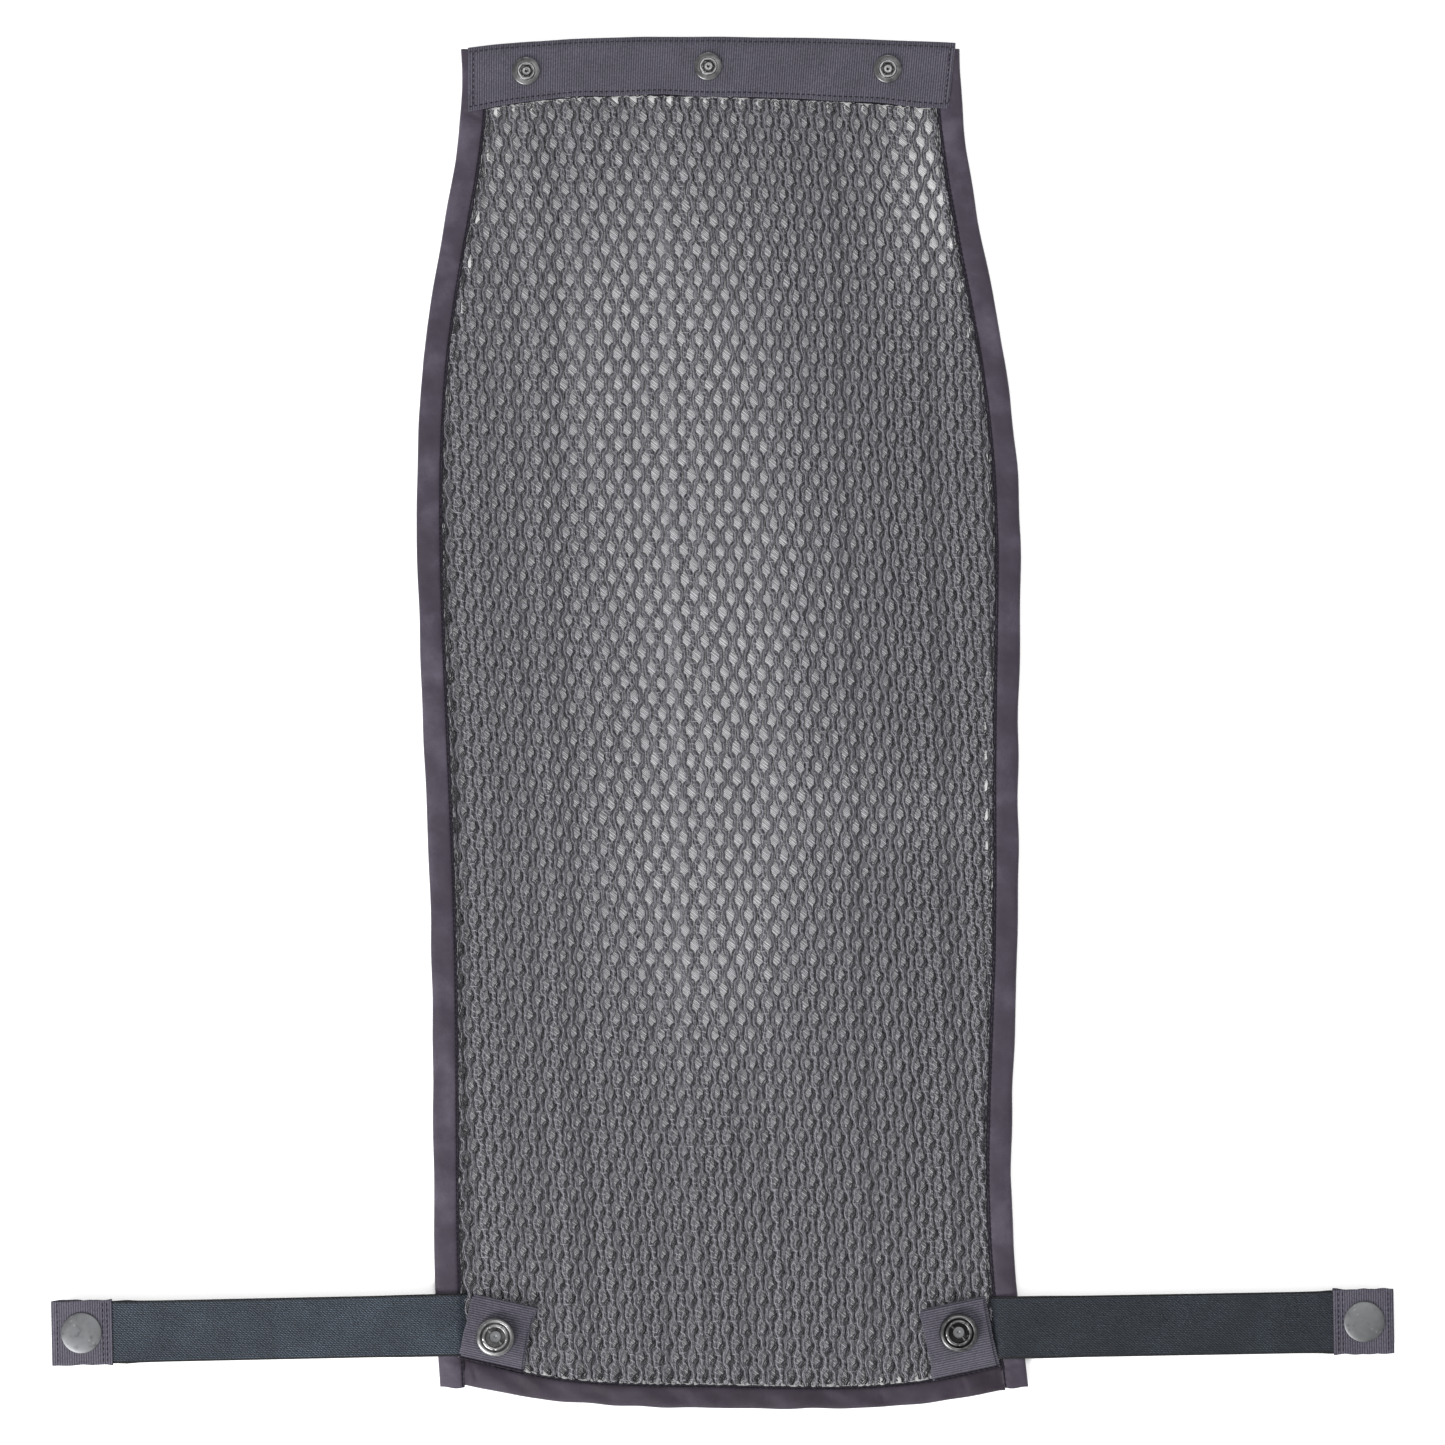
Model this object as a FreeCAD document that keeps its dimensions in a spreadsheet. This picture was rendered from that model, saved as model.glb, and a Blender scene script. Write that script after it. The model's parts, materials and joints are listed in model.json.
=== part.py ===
import FreeCAD, Part
import math
import os

import Sketcher

# Snap-in mesh panel of a soft baby carrier: a padded net panel with bound edges, three studs along
# its top band, two socket tabs at its lower corners and two elastic straps with a snap at each end.
#
# Frame: the panel lies flat, +Z up out of its front face, +Y towards the top band and +X towards
# the right-hand strap. The origin is at the middle of the outline, on the surface it lies on.
# Lengths are in millimetres and angles in degrees.

V = FreeCAD.Vector

# ---------------------------------------------------------------- driving dimensions

DIMENSIONS = {
    # heights of the layers above the surface that the panel lies on
    "mesh_thickness": 4.6,
    "binding_bottom": 1.0,
    "binding_top": 3.6,
    "band_back_bottom": 0.5,
    "tab_bottom": 4.9,
    "elastic_bottom": 3.9,
    # cloths
    "binding_width": 9.5,
    "binding_wall": 0.5,
    "tape_thickness": 0.5,
    "mesh_edge_gap": 1.0,
    "mesh_fold_gap": 1.0,
    "mesh_band_gap": 0.5,
    "band_end_slant": 2.7,
    "post_hole_radius": 1.6,
    # studs, and the eyelets that hold them from behind
    "stud_flange_radius": 5.45,
    "stud_flange_height": 0.55,
    "stud_flange_bevel": 0.2,
    "stud_knob_radius": 3.4,
    "stud_height": 2.1,
    "stud_rim_bevel": 0.35,
    "stud_floor": 0.6,
    "stud_well_radius": 2.55,
    "eyelet_radius": 5.0,
    "eyelet_flange": 0.5,
    "barrel_radius": 1.4,
    "barrel_hole_radius": 1.45,
    "barrel_bore_radius": 1.0,
    "eyelet_roll_radius": 2.0,
    "roll_height": 0.5,
    "roll_bevel": 0.15,
    # sockets, their ring springs and their caps
    "socket_radius": 7.55,
    "socket_foot_radius": 6.8,
    "socket_foot_height": 0.6,
    "socket_shoulder": 1.2,
    "socket_height": 3.4,
    "socket_floor": 0.6,
    "socket_bore_radius": 3.45,
    "socket_mouth_bevel": 0.3,
    "socket_bore_start": 1.4,
    "socket_cavity_radius": 4.8,
    "socket_ring_radius": 5.0,
    "socket_ring_groove": 0.15,
    "spring_ring_radius": 4.15,
    "spring_wire_radius": 0.35,
    "spring_height": 1.0,
    "spring_sweep": 330.0,
    "cap_radius": 8.0,
    "cap_edge": 0.2,
    "cap_rim_radius": 7.7,
    "cap_height": 1.3,
    "cap_roll_radius": 2.3,
    "cap_dimple_radius": 0.6,
    # corner tabs: a tape folded double, sewn in at its open end
    "corner_tab_width": 25.4,
    "corner_tab_thickness": 1.4,
    "corner_tab_layer": 0.6,
    "corner_tab_fold": 1.0,
    "cap_recess_radius": 8.3,
    "cap_recess_floor": 3.3,
    # straps: flat elastic with a tape folded over its end
    "elastic_width": 24.4,
    "elastic_thickness": 1.2,
    "elastic_in_tab": 8.0,
    "strap_tab_length": 23.8,
    "strap_tab_width": 25.2,
    "strap_tab_bottom": 3.4,
    "strap_tab_thickness": 2.2,
    "strap_tab_mouth": 8.3,
    "strap_snap_from_end": 11.8,
    # the studs' places
    "left_stud_x": -76.6,
    "left_stud_y": 254.0,
    "centre_stud_x": -5.6,
    "centre_stud_y": 255.8,
    "right_stud_x": 64.4,
    "right_stud_y": 254.8,
    # the corner tabs: the snap's place, the tab's turn, and how far it reaches from the snap
    "left_corner_x": -88.5,
    "left_corner_y": -239.3,
    "left_corner_turn": -12.5,
    "left_corner_shift": 0.7,
    "left_corner_above": 14.6,
    "left_corner_below": 10.3,
    "right_corner_x": 92.0,
    "right_corner_y": -237.6,
    "right_corner_turn": 12.0,
    "right_corner_shift": -0.2,
    "right_corner_above": 11.8,
    "right_corner_below": 15.7,
    # the straps: each root is the fold beside the binding's inner seam
    "left_strap_x": -104.2,
    "left_strap_y": -234.9,
    "left_strap_turn": 181.2,
    "left_strap_length": 157.5,
    "right_strap_x": 109.2,
    "right_strap_y": -236.0,
    "right_strap_turn": 1.0,
    "right_strap_length": 152.7,
}

# Down the panel: height, outer edge of the left binding, outer edge of the right binding
SIDE_STATIONS = {
    "top": (263.2, -102.0, 92.6),
    "neck": (232.0, -102.6, 94.2),
    "shoulder": (188.2, -109.6, 101.2),
    "ribs": (141.0, -116.7, 110.0),
    "chest": (94.6, -119.1, 115.2),
    "middle": (1.0, -116.8, 115.4),
    "belly": (-92.0, -113.4, 115.0),
    "hip": (-170.6, -112.7, 112.6),
    "strap": (-217.4, -112.1, 114.5),
    "seam": (-248.0, -110.8, 117.9),
    "corner": (-259.5, -110.2, 119.2),
}

# Along the bottom binding: across, its lower edge, its upper edge
HEM_STATIONS = {
    "left_end": (-100.4, -258.4, -247.2),
    "left_quarter": (-62.0, -264.9, -256.3),
    "centre": (0.0, -267.4, -258.8),
    "right_quarter": (62.0, -267.0, -258.8),
    "right_end": (108.4, -260.5, -250.4),
}

# Along the top band: across, its upper edge, its lower edge
BAND_STATIONS = {
    "left_end": (-99.3, 263.3, 238.1),
    "left_quarter": (-60.0, 266.6, 243.9),
    "centre": (-5.0, 267.5, 244.4),
    "right_quarter": (45.0, 266.9, 242.5),
    "right_end": (91.0, 265.0, 239.3),
}

SIDES = ("left", "right")
STUDS = ("left", "centre", "right")
DOME_STEPS = 6

# how far a cut runs past the end of what it cuts
PAST_END = 1.0

# ---------------------------------------------------------------- sheet and sizes


class Size:
    """A number together with the sheet expression that it comes from."""

    def __init__(self, value, text):
        self.value = value
        self.text = text

    def __add__(self, other):
        other = as_size(other)
        return Size(self.value + other.value, f"({self.text} + {other.text})")

    def __sub__(self, other):
        other = as_size(other)
        return Size(self.value - other.value, f"({self.text} - {other.text})")

    def __mul__(self, factor):
        return Size(self.value * factor, f"({self.text} * {factor})")

    def __neg__(self):
        return self * -1


def as_size(thing):
    """A Size as it is, or a plain number as a Size."""
    if isinstance(thing, Size):
        return thing
    return Size(float(thing), str(thing))


def station_cells(edge, stations, columns):
    """The stations of an outline as named values for the sheet."""
    cells = {}
    for name, row in stations.items():
        for column, value in zip(columns, row):
            cells[f"{edge}_{name}_{column}"] = value
    return cells


def make_sheet(document, values):
    """The spreadsheet of driving dimensions, with one named cell for each."""
    made = document.addObject("Spreadsheet::Sheet", "Dimensions")
    for row, (alias, value) in enumerate(values.items(), start=1):
        made.set(f"A{row}", alias)
        made.set(f"B{row}", str(value))
        made.setAlias(f"B{row}", alias)
    document.recompute()
    return made


doc = FreeCAD.newDocument("mesh_panel_carrier")
sheet = make_sheet(
    doc,
    {
        **DIMENSIONS,
        **station_cells("side", SIDE_STATIONS, ("height", "left", "right")),
        **station_cells("hem", HEM_STATIONS, ("across", "lower", "upper")),
        **station_cells("band", BAND_STATIONS, ("across", "upper", "lower")),
    },
)


def number(alias):
    """A dimension of the sheet as a plain number."""
    return float(sheet.get(alias))


def size(alias):
    """A dimension of the sheet as its number and its expression."""
    return Size(number(alias), f"Dimensions.{alias}")


# ---------------------------------------------------------------- feature helpers


def new_body(label):
    """An empty body whose label is the name of its piece."""
    body = doc.addObject("PartDesign::Body", label)
    body.Label = label
    return body


def new_sketch(body, role="XY_Plane", height=0.0):
    """A sketch on one of the body's own origin planes, raised by a height."""
    sketch = body.newObject("Sketcher::SketchObject", f"{body.Name}_sketch")
    plane = next(item for item in body.Origin.OriginFeatures if item.Role == role)
    sketch.AttachmentSupport = [(plane, "")]
    sketch.MapMode = "FlatFace"
    sketch.setExpression("AttachmentOffset.Base.z", as_size(height).text)
    return sketch


def hold_point(sketch, geometry, end, x, y):
    """Holds one point of a sketch to the sheet's sizes."""
    for kind, axis, place in (("DistanceX", -2, as_size(x)), ("DistanceY", -1, as_size(y))):
        if place.value == 0.0:
            sketch.addConstraint(Sketcher.Constraint("PointOnObject", geometry, end, axis))
        else:
            rule = Sketcher.Constraint(kind, -1, 1, geometry, end, place.value)
            held = sketch.addConstraint(rule)
            sketch.setExpression(f"Constraints[{held}]", place.text)


def add_polygon(sketch, corners):
    """A closed polygon whose corners are held to the sheet's sizes."""
    points = [V(as_size(x).value, as_size(y).value, 0) for x, y in corners]
    first = sketch.GeometryCount
    for index, point in enumerate(points):
        sketch.addGeometry(Part.LineSegment(point, points[(index + 1) % len(points)]))
    for index in range(len(points)):
        after = first + (index + 1) % len(points)
        sketch.addConstraint(Sketcher.Constraint("Coincident", first + index, 2, after, 1))
    for index, (x, y) in enumerate(corners):
        hold_point(sketch, first + index, 1, x, y)


def add_rectangle(sketch, low_x, high_x, low_y, high_y):
    """A rectangle between two pairs of sizes."""
    add_polygon(sketch, [(low_x, low_y), (high_x, low_y), (high_x, high_y), (low_x, high_y)])


def add_circle(sketch, x, y, radius):
    """A circle whose centre and radius are held to the sheet's sizes."""
    middle = V(as_size(x).value, as_size(y).value, 0)
    circle = sketch.addGeometry(Part.Circle(middle, V(0, 0, 1), radius.value))
    held = sketch.addConstraint(Sketcher.Constraint("Radius", circle, radius.value))
    sketch.setExpression(f"Constraints[{held}]", radius.text)
    hold_point(sketch, circle, 3, x, y)


def add_outline(sketch, *edges):
    """A closed outline of smooth edges, with a straight run from each edge to the next."""
    for index, points in enumerate(edges):
        onward = edges[(index + 1) % len(edges)][0]
        if len(points) == 2:
            sketch.addGeometry(Part.LineSegment(*points))
        else:
            curve = Part.BSplineCurve()
            curve.interpolate(points)
            sketch.addGeometry(curve)
        if not points[-1].isEqual(onward, 1e-9):
            sketch.addGeometry(Part.LineSegment(points[-1], onward))


def pad(body, sketch, height):
    """Material raised from a sketch by a height."""
    feature = body.newObject("PartDesign::Pad", f"{body.Name}_pad")
    feature.Profile = sketch
    feature.setExpression("Length", as_size(height).text)


def pocket(body, sketch, depth):
    """Material cut away upwards from a sketch, which has to make the body smaller."""
    doc.recompute()
    before = body.Shape.Volume
    feature = body.newObject("PartDesign::Pocket", f"{body.Name}_pocket")
    feature.Profile = sketch
    feature.Reversed = True
    feature.setExpression("Length", as_size(depth).text)
    doc.recompute()
    if not body.Shape.Volume < before:
        raise RuntimeError(f"{body.Label}: a pocket cut nothing")


def turned_body(label, corners):
    """A body turned about its own Z from a closed profile of radii and heights."""
    body = new_body(label)
    sketch = new_sketch(body, "XZ_Plane")
    add_polygon(sketch, corners)
    feature = body.newObject("PartDesign::Revolution", f"{body.Name}_turned")
    feature.Profile = sketch
    feature.ReferenceAxis = (sketch, ["V_Axis"])
    feature.Angle = 360.0
    return body


def place(item, x, y, z, turn=0.0, face_down=False):
    """Puts a piece into the panel's frame, turned about Z and, if asked, upside down first."""
    over = FreeCAD.Rotation(V(1, 0, 0), 180.0 if face_down else 0.0)
    item.Placement.Rotation = FreeCAD.Rotation(V(0, 0, 1), turn) * over
    for axis, coordinate in (("x", x), ("y", y), ("z", z)):
        item.setExpression(f"Placement.Base.{axis}", as_size(coordinate).text)
    return item


def quarter_curve(start, end, steps):
    """Points of a quarter ellipse between two profile corners, leaving the first one upwards."""
    (start_radius, start_height), (end_radius, end_height) = start, end
    inwards = end_radius - start_radius
    upwards = end_height - start_height
    points = []
    for step in range(steps + 1):
        angle = math.radians(90.0 * step / steps)
        slow = round(1.0 - math.cos(angle), 6)
        fast = round(math.sin(angle), 6)
        points.append((start_radius + inwards * slow, start_height + upwards * fast))
    return points


# ---------------------------------------------------------------- edges of the panel


def side_edge(side, inset, names=tuple(SIDE_STATIONS)):
    """Points down one side of the panel, moved inwards from its outer edge."""
    inwards = inset if side == "left" else -inset
    return [
        V(number(f"side_{name}_{side}") + inwards, number(f"side_{name}_height"), 0)
        for name in names
    ]


def hem_edge(which, inset=0.0):
    """Points along the bottom binding's lower or upper edge, left to right, moved up."""
    return [
        V(number(f"hem_{name}_across"), number(f"hem_{name}_{which}") + inset, 0)
        for name in HEM_STATIONS
    ]


def band_edge(which, inset=0.0):
    """Points along the top band's upper or lower edge, left to right, moved down."""
    points = [
        V(number(f"band_{name}_across"), number(f"band_{name}_{which}") - inset, 0)
        for name in BAND_STATIONS
    ]
    if which == "lower":
        points[-1].x -= number("band_end_slant")
    return points


def backwards(points):
    """The same points in the other order."""
    return points[::-1]


# ---------------------------------------------------------------- the panel


def slab_corners():
    """Where the full-thickness part of the mesh meets the bindings and the top band."""
    inset = number("binding_width") + number("mesh_edge_gap")
    gap = number("mesh_edge_gap")
    upper = {
        side: V(
            side_edge(side, inset, ["neck"])[0].x,
            number(f"band_{side}_end_lower") - gap,
            0,
        )
        for side in SIDES
    }
    lower = {
        side: V(
            side_edge(side, inset, ["seam"])[0].x,
            number(f"hem_{side}_end_upper") + gap,
            0,
        )
        for side in SIDES
    }
    return upper, lower


def cut_post_holes(body, bottom, depth):
    """The holes that the eyelets' barrels go through."""
    sketch = new_sketch(body, height=bottom)
    for name in STUDS:
        add_circle(
            sketch, size(f"{name}_stud_x"), size(f"{name}_stud_y"), size("post_hole_radius")
        )
    pocket(body, sketch, depth)


def make_mesh_panel():
    """The spacer mesh: full thickness inside the bindings, pressed thin where it is sewn in."""
    body = new_body("mesh_panel")
    gap = number("mesh_edge_gap")
    inset = number("binding_width") + gap
    upper, lower = slab_corners()
    middle_names = [name for name in SIDE_STATIONS if name not in ("top", "neck", "seam", "corner")]
    top_line = [upper["left"]] + band_edge("lower", gap)[1:-1] + [upper["right"]]
    bottom_line = [lower["left"]] + hem_edge("upper", gap)[1:-1] + [lower["right"]]
    left_line = [upper["left"]] + side_edge("left", inset, middle_names) + [lower["left"]]
    right_line = [lower["right"]] + backwards(side_edge("right", inset, middle_names))
    right_line.append(upper["right"])

    slab = new_sketch(body)
    add_outline(slab, left_line, bottom_line, right_line, backwards(top_line))
    pad(body, slab, size("mesh_thickness"))

    # between the tapes of the top band, the mesh fills the space beside the bindings
    band_zone = new_sketch(body, height=size("binding_bottom"))
    in_band = number("binding_width") + number("mesh_band_gap")
    top_left = V(side_edge("left", in_band, ["top"])[0].x, number("side_top_height") - gap, 0)
    top_right = V(side_edge("right", in_band, ["top"])[0].x, number("side_top_height") - gap, 0)
    above = [top_left] + band_edge("upper", gap)[1:-1] + [top_right]
    add_outline(band_zone, top_line, backwards(above))
    pad(body, band_zone, size("binding_top") - size("binding_bottom"))

    # the thin edge inside the bindings
    tongue = new_sketch(body, height=size("binding_bottom") + size("binding_wall"))
    fold = number("binding_wall") + number("mesh_fold_gap")
    left_side = side_edge("left", fold)
    right_side = side_edge("right", fold)
    for side in (left_side, right_side):
        side[0].y -= fold
        side[-1].y += fold
    add_outline(
        tongue,
        left_side,
        hem_edge("lower", fold),
        backwards(right_side),
        backwards(band_edge("upper", gap)),
    )
    pad(body, tongue, size("binding_top") - size("binding_bottom") - size("binding_wall") * 2)

    cut_post_holes(body, 0.0, size("mesh_thickness"))
    recess = new_sketch(body, height=size("cap_recess_floor"))
    for side in SIDES:
        add_circle(
            recess, size(f"{side}_corner_x"), size(f"{side}_corner_y"), size("cap_recess_radius")
        )
    pocket(body, recess, size("mesh_thickness") - size("cap_recess_floor") + PAST_END)
    return body


def make_channel(label, outside, groove):
    """A binding: a strip folded round the mesh's edge, open on its inner side."""
    body = new_body(label)
    strip = new_sketch(body, height=size("binding_bottom"))
    add_outline(strip, *outside)
    pad(body, strip, size("binding_top") - size("binding_bottom"))
    hollow = new_sketch(body, height=size("binding_bottom") + size("binding_wall"))
    add_outline(hollow, *groove)
    depth = size("binding_top") - size("binding_bottom") - size("binding_wall") * 2
    pocket(body, hollow, depth)
    return body


def make_side_binding(side):
    """The binding down one side of the panel."""
    width = number("binding_width")
    wall = number("binding_wall")
    fold = side_edge(side, wall)
    mouth = side_edge(side, width + PAST_END)
    for line in (fold, mouth):
        line[0].y += PAST_END
        line[-1].y -= PAST_END
    outside = (side_edge(side, 0.0), backwards(side_edge(side, width)))
    return make_channel(f"{side}_side_binding", outside, (fold, backwards(mouth)))


def make_bottom_binding():
    """The binding along the panel's lower edge."""
    wall = number("binding_wall")
    fold = hem_edge("lower", wall)
    mouth = hem_edge("upper", PAST_END)
    for line in (fold, mouth):
        line[0].x -= PAST_END
        line[-1].x += PAST_END
    outside = (hem_edge("lower"), backwards(hem_edge("upper")))
    return make_channel("bottom_binding", outside, (fold, backwards(mouth)))


def make_band_tape(label, bottom):
    """One tape of the top band, in front of the mesh's edge or behind it."""
    body = new_body(label)
    sketch = new_sketch(body, height=bottom)
    add_outline(sketch, band_edge("lower"), backwards(band_edge("upper")))
    pad(body, sketch, size("tape_thickness"))
    cut_post_holes(body, bottom, size("tape_thickness"))
    return body


# ---------------------------------------------------------------- snap fasteners


def make_stud(name):
    """A stud: a flange, a knob and the six-sided well that its eyelet is rolled over in."""
    knob = size("stud_knob_radius")
    top = size("stud_height")
    bevel = size("stud_rim_bevel")
    flange = size("stud_flange_radius")
    ledge = size("stud_flange_height")
    eased = size("stud_flange_bevel")
    hole = size("barrel_hole_radius")
    body = turned_body(
        f"top_stud_{name}",
        [
            (hole, 0.0),
            (flange, 0.0),
            (flange, ledge - eased),
            (flange - eased, ledge),
            (knob, ledge),
            (knob, top - bevel),
            (knob - bevel, top),
            (hole, top),
        ],
    )
    well = new_sketch(body, height=size("stud_floor"))
    corners = []
    for step in range(6):
        angle = math.radians(60.0 * step)
        across = size("stud_well_radius") * round(math.cos(angle), 6)
        along = size("stud_well_radius") * round(math.sin(angle), 6)
        corners.append((across, along))
    add_polygon(well, corners)
    pocket(body, well, top)
    seat = size("binding_top") + size("tape_thickness")
    return place(body, size(f"{name}_stud_x"), size(f"{name}_stud_y"), seat)


def rolled_end(radius, grip):
    """The corners of a barrel's rolled end, from its neck outwards and round its rim."""
    bevel = size("roll_bevel")
    end = grip + size("roll_height")
    return [
        (size("barrel_radius"), grip),
        (radius, grip),
        (radius, end - bevel),
        (radius - bevel, end),
    ]


def make_eyelet(name):
    """An eyelet: a flange behind the band, and a hollow barrel rolled over inside the stud."""
    back = size("band_back_bottom")
    grip = size("binding_top") + size("tape_thickness") - back + size("stud_floor")
    bore = size("barrel_bore_radius")
    flange = size("eyelet_radius")
    below = -size("eyelet_flange")
    bevel = size("roll_bevel")
    body = turned_body(
        f"top_eyelet_{name}",
        [
            (bore, below),
            (flange - bevel, below),
            (flange, below + bevel),
            (flange, 0.0),
            (size("barrel_radius"), 0.0),
            *rolled_end(size("eyelet_roll_radius"), grip),
            (bore, grip + size("roll_height")),
        ],
    )
    return place(body, size(f"{name}_stud_x"), size(f"{name}_stud_y"), back)


def make_socket(label):
    """A socket: a domed cover round a straight mouth, over the groove that holds its spring."""
    bore = size("socket_bore_radius")
    mouth = size("socket_mouth_bevel")
    top = size("socket_height")
    ring = size("socket_ring_radius")
    groove = size("socket_ring_groove")
    hole = size("barrel_hole_radius")
    shoulder = (size("socket_radius"), size("socket_shoulder"))
    dome = quarter_curve(shoulder, (ring + groove, top), DOME_STEPS)
    return turned_body(
        label,
        [
            (hole, 0.0),
            (size("socket_foot_radius"), 0.0),
            (size("socket_radius"), size("socket_foot_height")),
            *dome,
            (ring, top - groove),
            (ring - groove, top),
            (bore + mouth, top),
            (bore, top - mouth),
            (bore, size("socket_bore_start")),
            (size("socket_cavity_radius"), size("socket_bore_start")),
            (size("socket_cavity_radius"), size("socket_floor")),
            (hole, size("socket_floor")),
        ],
    )


def make_spring(label):
    """The open wire ring that grips a stud inside the socket."""
    ring = doc.addObject("Part::Torus", label)
    ring.Label = label
    ring.setExpression("Radius1", size("spring_ring_radius").text)
    ring.setExpression("Radius2", size("spring_wire_radius").text)
    ring.setExpression("Angle3", size("spring_sweep").text)
    return ring


def make_cap(label, cloth):
    """A cap: a smooth dome on one side of the cloth, and a barrel rolled over in the socket."""
    grip = cloth + size("socket_floor")
    edge = size("cap_edge")
    dimple = size("cap_dimple_radius")
    turned_over = [(radius, -height) for radius, height in rolled_end(size("cap_roll_radius"), grip)]
    dome = quarter_curve(
        (size("cap_radius"), edge), (as_size(0.0), size("cap_height")), DOME_STEPS
    )
    return turned_body(
        label,
        [
            (0.0, -grip),
            (dimple, -(grip + size("roll_height"))),
            *turned_over[::-1],
            (size("barrel_radius"), 0.0),
            (size("cap_rim_radius"), 0.0),
            *dome[:-1],
            (0.0, size("cap_height")),
        ],
    )


# ---------------------------------------------------------------- corner tabs and straps


def make_corner_tab(side):
    """A tape folded double, sewn in along its open end, with a socket through its middle."""
    body = new_body(f"{side}_tab_loop")
    half = size("corner_tab_width") * 0.5
    shift = size(f"{side}_corner_shift")
    below = -size(f"{side}_corner_below")
    above = size(f"{side}_corner_above")
    outline = new_sketch(body)
    add_rectangle(outline, shift - half, shift + half, below, above)
    pad(body, outline, size("corner_tab_thickness"))
    slot = new_sketch(body, height=size("corner_tab_layer"))
    past_half = half + PAST_END
    fold = above - size("corner_tab_fold")
    add_rectangle(slot, shift - past_half, shift + past_half, below - PAST_END, fold)
    pocket(body, slot, size("corner_tab_thickness") - size("corner_tab_layer") * 2)
    post = new_sketch(body)
    add_circle(post, 0.0, 0.0, size("post_hole_radius"))
    pocket(body, post, size("corner_tab_thickness"))

    x = size(f"{side}_corner_x")
    y = size(f"{side}_corner_y")
    turn = number(f"{side}_corner_turn")
    bottom = size("tab_bottom")
    top = bottom + size("corner_tab_thickness")
    socket = make_socket(f"{side}_tab_socket")
    spring = make_spring(f"{side}_tab_spring")
    cap = make_cap(f"{side}_tab_cap", size("corner_tab_thickness"))
    return [
        place(body, x, y, bottom, turn),
        place(socket, x, y, top, turn),
        place(spring, x, y, top + size("spring_height"), turn),
        place(cap, x, y, bottom, turn, face_down=True),
    ]


def strap_point(side, distance):
    """A place along a strap's middle line, at a distance from its root."""
    turn = size(f"{side}_strap_turn")
    angle = math.radians(turn.value)
    root_x = size(f"{side}_strap_x")
    root_y = size(f"{side}_strap_y")
    across = Size(
        root_x.value + distance.value * math.cos(angle),
        f"({root_x.text} + {distance.text} * cos({turn.text} * 1 deg))",
    )
    along = Size(
        root_y.value + distance.value * math.sin(angle),
        f"({root_y.text} + {distance.text} * sin({turn.text} * 1 deg))",
    )
    return across, along


def make_strap(side):
    """A flat elastic with a tape folded over its end, a cap on top and a socket underneath."""
    length = size(f"{side}_strap_length")
    tab_start = length - size("strap_tab_length")
    turn = number(f"{side}_strap_turn")
    root = (size(f"{side}_strap_x"), size(f"{side}_strap_y"))

    elastic = new_body(f"{side}_strap_elastic")
    half_elastic = size("elastic_width") * 0.5
    elastic_outline = new_sketch(elastic, height=size("elastic_bottom"))
    elastic_end = tab_start + size("elastic_in_tab")
    add_rectangle(elastic_outline, 0.0, elastic_end, -half_elastic, half_elastic)
    pad(elastic, elastic_outline, size("elastic_thickness"))

    tab = new_body(f"{side}_strap_tab")
    half_tab = size("strap_tab_width") * 0.5
    tab_outline = new_sketch(tab, height=size("strap_tab_bottom"))
    add_rectangle(tab_outline, tab_start, length, -half_tab, half_tab)
    pad(tab, tab_outline, size("strap_tab_thickness"))
    mouth = new_sketch(tab, height=size("elastic_bottom"))
    mouth_end = tab_start + size("strap_tab_mouth")
    past_half = half_tab + PAST_END
    add_rectangle(mouth, tab_start - PAST_END, mouth_end, -past_half, past_half)
    pocket(tab, mouth, size("elastic_thickness"))
    snap = length - size("strap_snap_from_end")
    post = new_sketch(tab, height=size("strap_tab_bottom"))
    add_circle(post, snap, 0.0, size("post_hole_radius"))
    pocket(tab, post, size("strap_tab_thickness"))

    x, y = strap_point(side, snap)
    bottom = size("strap_tab_bottom")
    top = bottom + size("strap_tab_thickness")
    socket = make_socket(f"{side}_strap_socket")
    spring = make_spring(f"{side}_strap_spring")
    cap = make_cap(f"{side}_strap_cap", size("strap_tab_thickness"))
    return [
        place(elastic, *root, 0.0, turn),
        place(tab, *root, 0.0, turn),
        place(socket, x, y, bottom, turn, face_down=True),
        place(spring, x, y, bottom - size("spring_height"), turn, face_down=True),
        place(cap, x, y, top, turn),
    ]


# ---------------------------------------------------------------- assembly and export


def make_all():
    """Every piece of the panel, in the order in which they are sewn and pressed together."""
    pieces = [make_mesh_panel(), make_bottom_binding()]
    pieces += [make_side_binding(side) for side in SIDES]
    pieces.append(make_band_tape("top_band_front", size("binding_top")))
    pieces.append(make_band_tape("top_band_back", size("band_back_bottom")))
    for name in STUDS:
        pieces += [make_stud(name), make_eyelet(name)]
    for side in SIDES:
        pieces += make_corner_tab(side)
        pieces += make_strap(side)
    return pieces


def check_document(pieces):
    """Stops if an object of the document failed or a piece has no sound solid."""
    for item in doc.Objects:
        if "Invalid" in item.State or "Error" in item.State:
            raise RuntimeError(f"{item.Label}: {item.State}")
    for piece in pieces:
        if piece.Shape.isNull() or not piece.Shape.isValid() or len(piece.Shape.Solids) != 1:
            raise RuntimeError(f"{piece.Label}: no sound solid")


def export(pieces):
    """Writes one STEP file for each piece."""
    os.makedirs("parts", exist_ok=True)
    for piece in pieces:
        piece.Shape.exportStep(f"parts/{piece.Label}.step")
        box = piece.Shape.BoundBox
        print(
            f"{piece.Label}: {box.XLength:.1f} x {box.YLength:.1f} x {box.ZLength:.1f} mm, "
            f"z {box.ZMin:.2f} to {box.ZMax:.2f}, {piece.Shape.Volume:.0f} mm3"
        )


all_pieces = make_all()
doc.recompute()
check_document(all_pieces)
export(all_pieces)
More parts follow.
